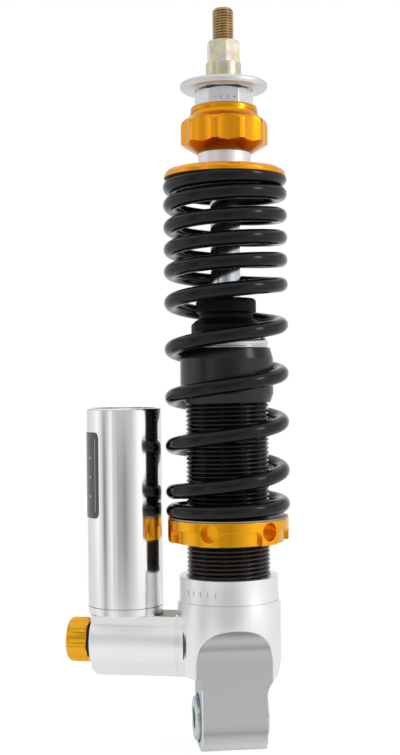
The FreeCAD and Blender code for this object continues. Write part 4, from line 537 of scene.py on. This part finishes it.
zinc = surface("zinc_plate", (0.7, 0.74, 0.74), 0.28, axis=(1, 0, 0), lines=0.15, mottle=0.08, shift=0.06,
               tints=((0.5, 0.68, 0.55), (0.5, 0.6, 0.78)))
turned("eye_sleeve_serrated", rounded([
    (sleeve_bore, -sleeve_end), (sleeve_radius - sleeve_bevel, -sleeve_end),
    (sleeve_radius, sleeve_bevel - sleeve_end), (sleeve_radius, sleeve_end - sleeve_bevel),
    (sleeve_radius - sleeve_bevel, sleeve_end), (sleeve_bore, sleeve_end)]),
    zinc, "eye_sleeve", "zinc", ["bush_sleeve"], segments=tooth_count * 4, shape=serrated,
    stand=Matrix.Rotation(math.pi / 2, 4, "Y"), sharp=30)
rubber = surface("moulded_rubber", (0.0035, 0.0035, 0.004), 0.5, metallic=0, grain=0.6, mottle=0.1, shift=0.1,
                 **{"Specular IOR Level": 0.13})
dress(rubber, "bush_rubber", "rod_seal", "rod_wiper", "head_o_ring", "topout_ring", "cap_o_ring",
      "floater_o_ring", "cartridge_o_ring", "bump_stop")


# Compression adjuster: a gold anodised knob with wide scallops on a black cartridge, which is screwed
# into the barrel. A brass screw and needle work inside, and the gas valve is brass too.
def scalloped(angle, radius, outside, inside, first, count, cutter, cut, softness):
    """Round scallops down the side of a knob, with softly broken edges between them. outside and inside
    are the knob's own radii, first is the middle of one scallop, cutter and cut its radius and depth."""
    pitch = 2 * math.pi / count
    beside = (angle - first + pitch / 2) % pitch - pitch / 2
    reach = outside - cut + cutter
    room = cutter**2 - (reach * np.sin(beside))**2
    left = np.where(room > 0, reach * np.cos(beside) - np.sqrt(np.maximum(room, 0)), 1)
    blend = np.clip(0.5 + (radius - left) / (4 * softness), 0, 1)
    soft = radius * (1 - blend) + left * blend - 2 * softness * blend * (1 - blend)
    return np.where(radius > inside + 1e-4, np.minimum(soft, radius), radius)


barrel_point = Vector((0, 0, 0.0345))
gold_gloss = {"Coat Weight": 0.2, "Coat Roughness": 0.15}
dial_scallops, dial_turn = 8, math.radians(30)
# The knob's painted reflections: lighter and darker shades painted on it that repeat with its scallops.
dial_painted_reflections = [(0, 0.95), (0.3, 0.85), (0.37, 1), (0.5, 0.68), (0.62, 1), (0.84, 0.9), (1, 0.95)]
dial_gold = surface(
    "gold_anodised_dial_painted_reflections", (1, 0.47, 0.015), 0.2, axis=along_block, centre=barrel_point, lines=0.04,
    mottle=0.03, shift=0.02, **gold_gloss,
    painted_stripes=(dial_scallops, dial_turn * dial_scallops / (2 * math.pi), dial_painted_reflections))
dial_foot, dial_head = 0.0669, 0.0773
dial_radius, dial_rounding, dial_edge = 0.01075, 0.0032, 0.0006
flange_space, stem_radius = 0.0085, 0.003
dial_floor, stem_head = 0.0689, 0.0755


def dial_shape(angle, radius, height):
    """Eight scallops all the way along the knob."""
    return scalloped(angle, radius, dial_radius, flange_space, dial_turn, dial_scallops, cutter=0.005,
                     cut=0.0009, softness=0.0003), height


at_barrel = Matrix.Translation(barrel_point) @ Matrix((
    (0, along_block.y, along_block.x, 0), (0, -along_block.x, along_block.y, 0), (-1, 0, 0, 0),
    (0, 0, 0, 1)))
turned("scalloped_dial", rounded([
    (flange_space, dial_foot), (dial_radius - dial_edge, dial_foot), (dial_radius, dial_foot + dial_edge),
    (dial_radius, dial_head, dial_rounding), (0, dial_head), (0, stem_head), (stem_radius, stem_head),
    (stem_radius, dial_floor), (flange_space, dial_floor)], steps=8),
    dial_gold, "compression_dial", "gold_anodised", ["compression_knob"], segments=288, shape=dial_shape,
    stand=at_barrel, sharp=60)
cartridge_black = surface("black_cartridge", (0.03, 0.02, 0.018), 0.35, metallic=0, axis=along_block,
                          centre=barrel_point, lines=0.2, mottle=0.05, shift=0.03)
dress(cartridge_black, "compression_cartridge")
brass = surface("turned_brass", (0.72, 0.5, 0.2), 0.25, lines=0.4, mottle=0.06, shift=0.05)
dress(brass, "compression_screw", "compression_needle", "gas_valve")

# Reservoir: a polished aluminium tube, screwed on its turned foot, with a cap held by a circlip. A
# floating piston inside parts the oil from the nitrogen.
reservoir_low, reservoir_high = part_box("reservoir_tube")
reservoir_axis = (reservoir_low + reservoir_high) / 2
reservoir_radius = (reservoir_high.x - reservoir_low.x) / 2
reservoir_bore = 0.015
tube_edge, tube_lip = 0.0003, 0.001
polished = surface("polished_aluminium", (0.9, 0.9, 0.91), 0.13, centre=reservoir_axis, lines=0.05,
                   mottle=0.02, shift=0.01, Anisotropic=0.6, **{"Anisotropic Rotation": 0.25})
at_reservoir = Matrix.Translation((reservoir_axis.x, reservoir_axis.y, 0))
turned("polished_tube", rounded([
    (reservoir_bore, reservoir_low.z), (reservoir_radius - tube_edge, reservoir_low.z),
    (reservoir_radius, reservoir_low.z + tube_edge), (reservoir_radius, reservoir_high.z, tube_lip),
    (reservoir_bore, reservoir_high.z)]),
    polished, "lower_body", "polished_aluminium", ["reservoir_tube"], segments=192, stand=at_reservoir)
base_low, base_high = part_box("reservoir_base")
spigot_length, spigot_radius, oil_way = 0.0054, 0.006, 0.003
base_bevel, base_play = 0.0008, 0.0001
base_foot = base_low.z + spigot_length
turned("turned_base", [
    (oil_way, base_low.z), (spigot_radius, base_low.z), (spigot_radius, base_foot),
    (reservoir_radius - base_bevel, base_foot), (reservoir_radius, base_foot + base_bevel),
    (reservoir_radius, reservoir_low.z - base_play),
    (reservoir_bore - base_play, reservoir_low.z - base_play),
    (reservoir_bore - base_play, base_high.z), (oil_way, base_high.z)],
    polished, "lower_body", "polished_aluminium", ["reservoir_base"], segments=192, stand=at_reservoir)
turned_silver = surface("turned_aluminium", (0.78, 0.78, 0.79), 0.25, lines=0.5, mottle=0.05, shift=0.03,
                        rounding=0.0003)
dress(turned_silver, "reservoir_cap", "floating_piston", "piston", "adjuster_ring", "seal_head")

# Label on the reservoir: a thin dark plate, bent round the tube and glued on. A fine line beside its
# edge and three small round marks are printed on it.
plate_left, plate_right = [math.radians(side) * reservoir_radius for side in (111.5, 223.5)]
plate_foot, plate_head, plate_corner = 0.0938, 0.1340, 0.0024
plate_thickness, print_thickness = 0.00015, 0.00003
plate_columns = 48


def bent_plate(name, left, right, foot, head, corner, lift, material):
    """A thin plate with round corners, bent round the reservoir. left and right are lengths round it."""
    spots = np.linspace(left, right, plate_columns + 1)
    edge = np.minimum(spots - left, right - spots)
    inset = np.where(edge < corner, corner - np.sqrt(np.maximum(corner**2 - (corner - edge)**2, 0)), 0)
    inner, outer = reservoir_radius - plate_thickness, reservoir_radius + lift
    vertices = []
    for place, cut in zip(spots / reservoir_radius, inset):
        vertices += [
            (reservoir_axis.x + radius * math.cos(place), reservoir_axis.y + radius * math.sin(place), level)
            for radius, level in (
                (inner, foot + cut), (outer, foot + cut), (outer, head - cut), (inner, head - cut))]
    ends = [(0, 1, 2, 3), tuple(plate_columns * 4 + side for side in range(4))]
    return new_piece(name, vertices, bar_faces(plate_columns) + ends, material, "lower_body", "satin_black")


plate_paint = surface("plate_print", (0.03, 0.03, 0.031), 0.3, metallic=0, mottle=0.05, shift=0.1,
                      **{"Coat Weight": 0.5, "Coat Roughness": 0.1})
mark_paint = surface("plate_marks", (0.62, 0.64, 0.5), 0.4, metallic=0, mottle=0.03)
bent_plate("reservoir_plate", plate_left, plate_right, plate_foot, plate_head, plate_corner, plate_thickness,
           plate_paint)
line_place, line_half, line_margin, line_corner = plate_right - 0.0022, 0.00015, 0.003, 0.0001
bent_plate("plate_line", line_place - line_half, line_place + line_half, plate_foot + line_margin,
           plate_head - line_margin, line_corner, plate_thickness + print_thickness, mark_paint)
mark_place, mark_radius, mark_heights = line_place - 0.0042, 0.0006, (0.104, 0.113, 0.122)
for place, height in enumerate(mark_heights):
    bent_plate("plate_mark_%d" % place, mark_place - mark_radius, mark_place + mark_radius,
               height - mark_radius, height + mark_radius, mark_radius, plate_thickness + print_thickness,
               mark_paint)

# Damper tube: an aluminium tube, cut with a two millimetre thread for the preload collar and then
# anodised black. Its foot is screwed into the housing's socket.
tube_low, tube_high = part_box("damper_tube")
tube_radius = (tube_high.x - tube_low.x) / 2
tube_bore, tube_bevel = 0.015, 0.001
thread_pitch, thread_depth = 0.002, 0.0011
thread_foot, thread_head = 0.0600, 0.1500
rows_per_pitch = 12


def divided(start, end, count):
    """Evenly spaced outline points from start to end."""
    return [tuple(point) for point in np.linspace(start, end, count + 1)]


def thread_wave(angle, height, pitch):
    """The form of a thread: 0 on its rounded crests, 1 in its narrow roots."""
    return 1 - np.abs(np.cos(math.pi * (height / pitch - angle / (2 * math.pi))))


def tube_thread(angle, radius, height):
    """A thread that fades out at its two ends."""
    from_ends = np.minimum(height - thread_foot, thread_head - height)
    depth_here = thread_depth * np.clip(from_ends / thread_pitch, 0, 1)
    outside = radius > tube_radius - 1e-4
    return np.where(outside, radius - depth_here * thread_wave(angle, height, thread_pitch), radius), height


thread_black = surface("black_anodised_thread", (0.003, 0.003, 0.0035), 0.16, metallic=0, mottle=0.05,
                       shift=0.1, grain=0.05, **{"Specular IOR Level": 0.5})
thread_rows = round((thread_head - thread_foot) / thread_pitch * rows_per_pitch)
turned("threaded_tube", [
    (tube_bore, tube_low.z), (tube_radius - tube_bevel, tube_low.z), (tube_radius, tube_low.z + tube_bevel)]
    + divided((tube_radius, thread_foot), (tube_radius, thread_head), thread_rows)
    + [(tube_radius, tube_high.z), (tube_bore, tube_high.z)],
    thread_black, "lower_body", "black_thread", ["damper_tube"], segments=128, shape=tube_thread, sharp=60)

# Guide sleeve and seal head: a satin black sleeve at the tube's end keeps the spring off the tube, and
# the silver head above it carries the rod's seals. Two fine grooves are turned round the head.
sleeve_black = surface("satin_black_sleeve", (0.004, 0.004, 0.0045), 0.26, metallic=0, mottle=0.06,
                       shift=0.1, grain=0.1, lines=0.1, rounding=0.0004, **{"Specular IOR Level": 0.45})
dress(sleeve_black, "guide_sleeve")
head_low, head_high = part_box("seal_head")
head_radius = (head_high.x - head_low.x) / 2
rim_bore, rim_gap, rim_shoulder = 0.0152, 0.00005, 0.0024
rim_foot, rim_top = 0.1727, head_high.z + 0.00003
groove_floor, groove_width, groove_edge = head_radius - 0.00025, 0.0005, 0.0001
groove_feet = (rim_foot + 0.0005, rim_foot + 0.0014)
grooves = []
for groove_foot in groove_feet:
    groove_head = groove_foot + groove_width
    grooves += [(head_radius, groove_foot), (groove_floor, groove_foot + groove_edge),
                (groove_floor, groove_head - groove_edge), (head_radius, groove_head)]
turned("seal_head_rim", rounded([
    (rim_bore, rim_foot + rim_gap), (head_radius, rim_foot + rim_gap), *grooves,
    (head_radius, rim_top, rim_shoulder), (rim_bore, rim_top)], steps=8),
    turned_silver, "lower_body", "satin_aluminium", segments=192)

# Preload collar: gold anodised aluminium, turned and then milled. A thin dark washer lets it turn under
# the spring.
# Painted shade darkens the collar a little in its hollows, such as its pin holes.
collar_gold = surface("gold_anodised", (1, 0.435, 0.006), 0.24, hollow_shade=0.12, lines=0.06, mottle=0.04,
                      shift=0.05, rounding=0.0005, **gold_gloss)
dress(collar_gold, "preload_collar")
slip_steel = surface("slip_washer_steel", (0.42, 0.36, 0.34), 0.4, lines=0.2, mottle=0.08, shift=0.1)
dress(slip_steel, "thrust_washer")

# Upper spring seat: gold anodised aluminium too. Its rim is bevelled, and small notches in the bevel give a
# spanner its hold. Painted shade darkens its hollows, and its downward faces are painted dark as shade.
seat_low, seat_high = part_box("top_spring_seat")
seat_radius = (seat_high.x - seat_low.x) / 2
seat_bore, seat_hub, seat_recess, recess_depth = 0.01005, 0.0217, 0.0135, 0.003
flange_foot = seat_high.z - 0.004
hub_bevel, flange_edge, seat_bevel, bevel_rounding = 0.001, 0.0005, 0.0017, 0.0009
notch_count, notch_width, notch_depth, notch_run_out = 12, 0.0055, 0.0004, 0.0016
notch_foot, notch_rise, notch_reach = seat_high.z - 0.0022, 0.0008, 0.0025


def notched(angle, radius, height):
    """Notches in the bevelled rim of the seat."""
    sector = (angle * notch_count / (2 * math.pi) + 0.5) % 1 - 0.5
    beside = np.abs(sector) * 2 * math.pi / notch_count * seat_radius - notch_width / 2
    share = 0.5 - 0.5 * np.sin(math.pi * np.clip(beside / notch_run_out, -0.5, 0.5))
    rim = np.clip((height - notch_foot) / notch_rise, 0, 1) * (radius > seat_radius - notch_reach)
    return radius - notch_depth * share * rim, height


# Painted shade darkens the seat strongly in its hollows and near other parts.
seat_gold = surface("gold_anodised_seat_with_painted_shade", (1, 0.39, 0.005), 0.24, hollow_shade=0.92, hollow_shade_reach=0.014,
                    lines=0.06, mottle=0.04, shift=0.05, **gold_gloss)
underside_shade_gold = surface("gold_painted_underside_shade", (0.1, 0.045, 0.004), 0.6, metallic=0.5, mottle=0.2)
seat = turned("notched_seat", rounded([
    (seat_bore, seat_low.z + recess_depth), (seat_recess, seat_low.z + recess_depth),
    (seat_recess, seat_low.z), (seat_hub - hub_bevel, seat_low.z), (seat_hub, seat_low.z + hub_bevel),
    (seat_hub, flange_foot), (seat_radius - flange_edge, flange_foot),
    (seat_radius, flange_foot + flange_edge), (seat_radius, seat_high.z - seat_bevel, bevel_rounding),
    (seat_radius - seat_bevel, seat_high.z, bevel_rounding), (seat_bore, seat_high.z)], steps=6),
    seat_gold, "rod_body", "gold_anodised", ["top_spring_seat"], segments=432, shape=notched, sharp=50)
# The downward faces take a second, dark material: painted shade where light doesn't reach between the coils.
seat.data.materials.append(underside_shade_gold)
for face in seat.data.polygons:
    face.material_index = int(face.normal.z < -0.5)

# Circlips, shims, washers, click springs and the piston's nut: small steel parts, stamped, wound or
# turned, and blued against rust.
blued_steel = surface("blued_steel", (0.13, 0.125, 0.12), 0.35, lines=0.2, mottle=0.08, shift=0.1)
dress(blued_steel, "seat_circlip", "reservoir_circlip", "knob_snap_ring", "compression_shims",
      "rebound_shims", "topout_washer", "shim_washer", "piston_nut", "rebound_click_spring",
      "compression_click_spring")

# Main spring: seven millimetre steel wire, wound wide below and close above, its two ends ground flat,
# coated with black powder. It stands on the collar.
spring_low, spring_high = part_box("main_spring")
wire_radius = 0.0035
coil_radius = (spring_high.x - spring_low.x) / 2 - wire_radius
first_turn, last_turn = -0.15, 10.54
turn_zero = math.radians(172)
foot_height, head_height = spring_low.z + 0.00165, spring_high.z - 0.0001
seat_gap = 0.00003
rows_per_turn, wire_sides = 80, 28
# The rise of a turn, in parts of the whole, by the place along the wire in turns.
pitch_turns = (-1, 0.4, 0.8, 1.35, 4.55, 6, 9.3, 9.55, 12)
pitch_rises = (5.6, 6, 12, 22.6, 22.6, 10.4, 10.4, 6.9, 6.7)
turns = np.linspace(first_turn, last_turn, round((last_turn - first_turn) * rows_per_turn) + 1)
rises = np.interp((turns[1:] + turns[:-1]) / 2, pitch_turns, pitch_rises) * np.diff(turns)
heights = np.concatenate([[0], np.cumsum(rises)])
heights = foot_height + heights * (head_height - foot_height) / heights[-1]
angles = turn_zero + 2 * math.pi * turns
line = np.stack([coil_radius * np.cos(angles), coil_radius * np.sin(angles), heights], -1)
ahead = np.gradient(line, axis=0)
ahead /= np.linalg.norm(ahead, axis=1)[:, None]
outward = np.stack([np.cos(angles), np.sin(angles), 0 * angles], -1)
upward = np.cross(ahead, outward)
upward *= np.sign(upward[:, 2])[:, None]
around = np.arange(wire_sides) * 2 * math.pi / wire_sides
ring = line[:, None] + wire_radius * (outward[:, None] * np.cos(around)[None, :, None]
                                      + upward[:, None] * np.sin(around)[None, :, None])
ring[:, :, 2] = np.clip(ring[:, :, 2], spring_low.z, spring_high.z - seat_gap)
count = len(turns)
wire_faces = [(row * wire_sides + side, row * wire_sides + (side + 1) % wire_sides,
               (row + 1) * wire_sides + (side + 1) % wire_sides, (row + 1) * wire_sides + side)
              for row in range(count - 1) for side in range(wire_sides)]
wire_faces += [tuple(range(wire_sides)), tuple(range((count - 1) * wire_sides, count * wire_sides))]
powder = surface("black_powder_coat", (0.003, 0.003, 0.0035), 0.17, metallic=0, mottle=0.05, shift=0.1,
                 grain=0.2, grain_size=0.0006, **{"Specular IOR Level": 0.3})
spring = new_piece("wound_spring", ring.reshape(-1, 3), wire_faces, powder, "spring_perch", "black_paint",
                   ["main_spring"])
stroke = next(joint for joint in frame["joints"] if joint["name"] == "stroke")
spring_length = spring_high.z - spring_low.z
(spring_length - stroke["range_m"][1]) / spring_length
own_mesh(spring)

# Rod and piston: hard chromed steel, ground and polished, with the valved piston inside the tube. The
# bush and the piston's band are filled plastic.
chrome = surface("hard_chrome", (0.6, 0.63, 0.68), 0.12, lines=0.02, mottle=0.01)
dress(chrome, "piston_rod", "metering_rod", "cross_pin", "rebound_click_ball", "compression_click_ball")
filled_plastic = surface("bearing_plastic", (0.18, 0.1, 0.05), 0.5, metallic=0, grain=0.3, shift=0.15)
dress(filled_plastic, "rod_bush", "piston_band")

# Rebound knob: gold anodised, turned, with ten finger scallops cut down its side. A snap ring holds it
# on the mount, and a click ball in the mount gives its steps.
knob_low, knob_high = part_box("rebound_knob")
knob_foot, knob_head = knob_low.z + 0.0014, knob_high.z - 0.0011
knob_radius, knob_collar, knob_foot_radius = 0.0204, 0.0158, 0.0131
knob_bore, knob_lip, lip_head = 0.0143, 0.0126, knob_low.z + 0.0075
cone_head, band_foot = knob_low.z + 0.0056, knob_low.z + 0.0066
shoulder_corner, shoulder_rounding = knob_low.z + 0.01596, 0.0034
flare_corner, flare_rounding, head_rounding = knob_low.z + 0.01812, 0.0046, 0.0012


def knob_shape(angle, radius, height):
    """Ten scallops down the whole side."""
    return scalloped(angle, radius, knob_radius, knob_bore, first=math.radians(-92.5), count=10, cutter=0.016,
                     cut=0.0014, softness=0.00012), height


# Painted shade darkens the knob in its hollows and near other parts.
knob_gold = surface("gold_anodised_knob_with_painted_shade", (1, 0.385, 0.005), 0.24, hollow_shade=0.85, hollow_shade_reach=0.016,
                    lines=0.06, mottle=0.04, shift=0.05, **gold_gloss)
knob_cone = divided((knob_foot_radius, knob_foot), (knob_radius, cone_head), 14)
knob_side = rounded([
    (knob_radius, band_foot), (knob_radius, shoulder_corner, shoulder_rounding),
    (knob_collar, flare_corner, flare_rounding), (knob_collar, knob_head, head_rounding),
    (knob_bore, knob_head), (knob_bore, lip_head), (knob_lip, lip_head)], steps=10)
turned("scalloped_knob", [(knob_lip, knob_foot)] + knob_cone + knob_side, knob_gold, "rebound_dial",
       "gold_anodised", ["rebound_knob"], segments=360, shape=knob_shape, sharp=30)

# Top mount: satin turned aluminium with a hexagon, on which the vehicle's weight stands. The hexagon's
# corners are bevelled on the lathe.
mount_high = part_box("top_mount")[1].z
hexagon_flat, hexagon_turn, hexagon_height = 0.012, math.radians(-98), 0.0075
hexagon_foot = mount_high - hexagon_height
bevel_start, bevel_slope, corner_cut = 0.0116, 0.62, 0.00012
stud_bore, blank_radius = 0.0051, 0.02
cutter_half, cutter_over = 0.03, 0.01
block_above = [(x, y, z) for z in (hexagon_foot, mount_high + cutter_over) for x, y in (
    (-cutter_half, -cutter_half), (cutter_half, -cutter_half), (cutter_half, cutter_half),
    (-cutter_half, cutter_half))]
mount_silver = surface("satin_mount", (0.9, 0.9, 0.93), 0.42, lines=0.06, mottle=0.05, shift=0.03)
new_piece("turned_mount", *carved("top_mount", block_above, [
    (0, 3, 2, 1), (4, 5, 6, 7), (0, 1, 5, 4), (1, 2, 6, 5), (2, 3, 7, 6), (3, 0, 4, 7)]),
    mount_silver, "rod_body", "satin_aluminium", ["top_mount"])


def six_flats(angle, radius, height):
    """A hexagon with a turned bevel on the corners of its head."""
    beside = (angle - hexagon_turn + math.pi / 6) % (math.pi / 3) - math.pi / 6
    flat = np.minimum(hexagon_flat / np.cos(beside), hexagon_flat / math.cos(math.pi / 6) - corner_cut)
    outer = radius > hexagon_flat
    fall = np.where(outer & (height > hexagon_foot + 1e-4), (flat - bevel_start) * bevel_slope, 0)
    return np.where(outer, flat, radius), height - fall


turned("mount_hexagon", [
    (stud_bore, hexagon_foot), (blank_radius, hexagon_foot), (blank_radius, mount_high),
    (bevel_start, mount_high), (stud_bore, mount_high)],
    mount_silver, "rod_body", "satin_aluminium", segments=360, shape=six_flats, sharp=20)

# Marks on the hexagon's front face, for less and more damping: a minus, two arrowheads and a plus, each
# of straight strokes. A stroke is given by its place along the face and its step up or down.
mark_middle, mark_half, mark_stroke = mount_high - 0.0053, 0.0009, 0.00013
mark_strokes = [((-0.0050, 0), (-0.0032, 0)),
                ((-0.0004, 1), (-0.0020, 0)), ((-0.0020, 0), (-0.0004, -1)),
                ((0.0010, 1), (0.0026, 0)), ((0.0026, 0), (0.0010, -1)),
                ((0.0040, 0), (0.0058, 0)), ((0.0049, 1), (0.0049, -1))]
along_flat = Vector((-math.sin(hexagon_turn), math.cos(hexagon_turn), 0))
out_of_flat = Vector((math.cos(hexagon_turn), math.sin(hexagon_turn), 0))
mark_vertices, mark_faces = [], []
for place, ends in enumerate(mark_strokes):
    start, end = [along_flat * spot + Vector((0, 0, mark_middle + mark_half * step)) for spot, step in ends]
    side = (end - start).normalized().cross(out_of_flat) * mark_stroke
    mark_faces += [[8 * place + corner for corner in face] for face in box_faces]
    stroke_corners = (start + side, end + side, end - side, start - side)
    for reach in (hexagon_flat - cut_depth, hexagon_flat + print_thickness):
        mark_vertices += [corner + out_of_flat * reach for corner in stroke_corners]
new_piece("turn_marks", mark_vertices, mark_faces, stamped, "rod_body", "satin_aluminium")

# Cup washer and sleeve nut: a satin aluminium washer, dished underneath, that the rubber of the vehicle's
# mount rests on, and the yellow zinc plated nut that holds it.
cup_low, cup_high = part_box("cup_washer")
cup_radius = (cup_high.x - cup_low.x) / 2
cup_bore, cup_rounding = 0.0053, 0.0015
dish_radius, dish_bevel, dish_depth = 0.0136, 0.0006, 0.0009
nut_recess, nut_recess_depth = 0.0085, 0.0005
washer_silver = surface("satin_washer", (0.8, 0.79, 0.78), 0.45, lines=0.1, mottle=0.05, shift=0.03)
turned("dished_washer", rounded([
    (cup_bore, cup_low.z + dish_depth), (dish_radius - dish_bevel, cup_low.z + dish_depth),
    (dish_radius, cup_low.z), (cup_radius, cup_low.z, cup_rounding), (cup_radius, cup_high.z, cup_rounding),
    (nut_recess, cup_high.z), (nut_recess, cup_high.z - nut_recess_depth),
    (cup_bore, cup_high.z - nut_recess_depth)]),
    washer_silver, "rod_body", "satin_aluminium", ["cup_washer"], segments=192)
yellow_zinc = surface("yellow_zinc", (0.76, 0.72, 0.56), 0.26, lines=0.05, mottle=0.08, shift=0.06,
                      tints=((0.62, 0.7, 0.36), (0.72, 0.55, 0.55)), rounding=0.0003)
dress(yellow_zinc, "sleeve_nut")

# Top stud: yellow zinc plated steel, M10, with a fine thread cut on its free end. The vehicle's nut
# goes on it.
stud_low, stud_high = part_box("top_stud")
stud_radius = (stud_high.x - stud_low.x) / 2
stud_pitch, stud_depth = 0.00125, 0.0008
stud_root, root_bevel = stud_radius - 0.0004, 0.0009
stud_end, end_bevel = stud_high.z - 0.0013, 0.001
free_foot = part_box("sleeve_nut")[1].z + 0.0003


def stud_thread(angle, radius, height):
    """The thread of the stud's free end."""
    free = (height > free_foot) & (radius > stud_radius - 1e-5)
    return np.where(free, radius - stud_depth * thread_wave(angle, height, stud_pitch), radius), height


stud_zinc = surface("stud_zinc", (0.5, 0.37, 0.19), 0.26, lines=0.05, mottle=0.1, shift=0.15,
                    tints=((0.44, 0.42, 0.16), (0.46, 0.3, 0.2)))
stud_rows = round((stud_end - end_bevel - free_foot) / stud_pitch * rows_per_pitch)
turned("threaded_stud", [
    (0, stud_low.z), (stud_root - root_bevel, stud_low.z), (stud_root, stud_low.z + root_bevel),
    (stud_root, free_foot)]
    + divided((stud_radius, free_foot), (stud_radius, stud_end - end_bevel), stud_rows)
    + [(stud_radius - end_bevel, stud_end), (0, stud_end)],
    stud_zinc, "rod_body", "zinc", ["top_stud"], segments=96, shape=stud_thread, sharp=60)
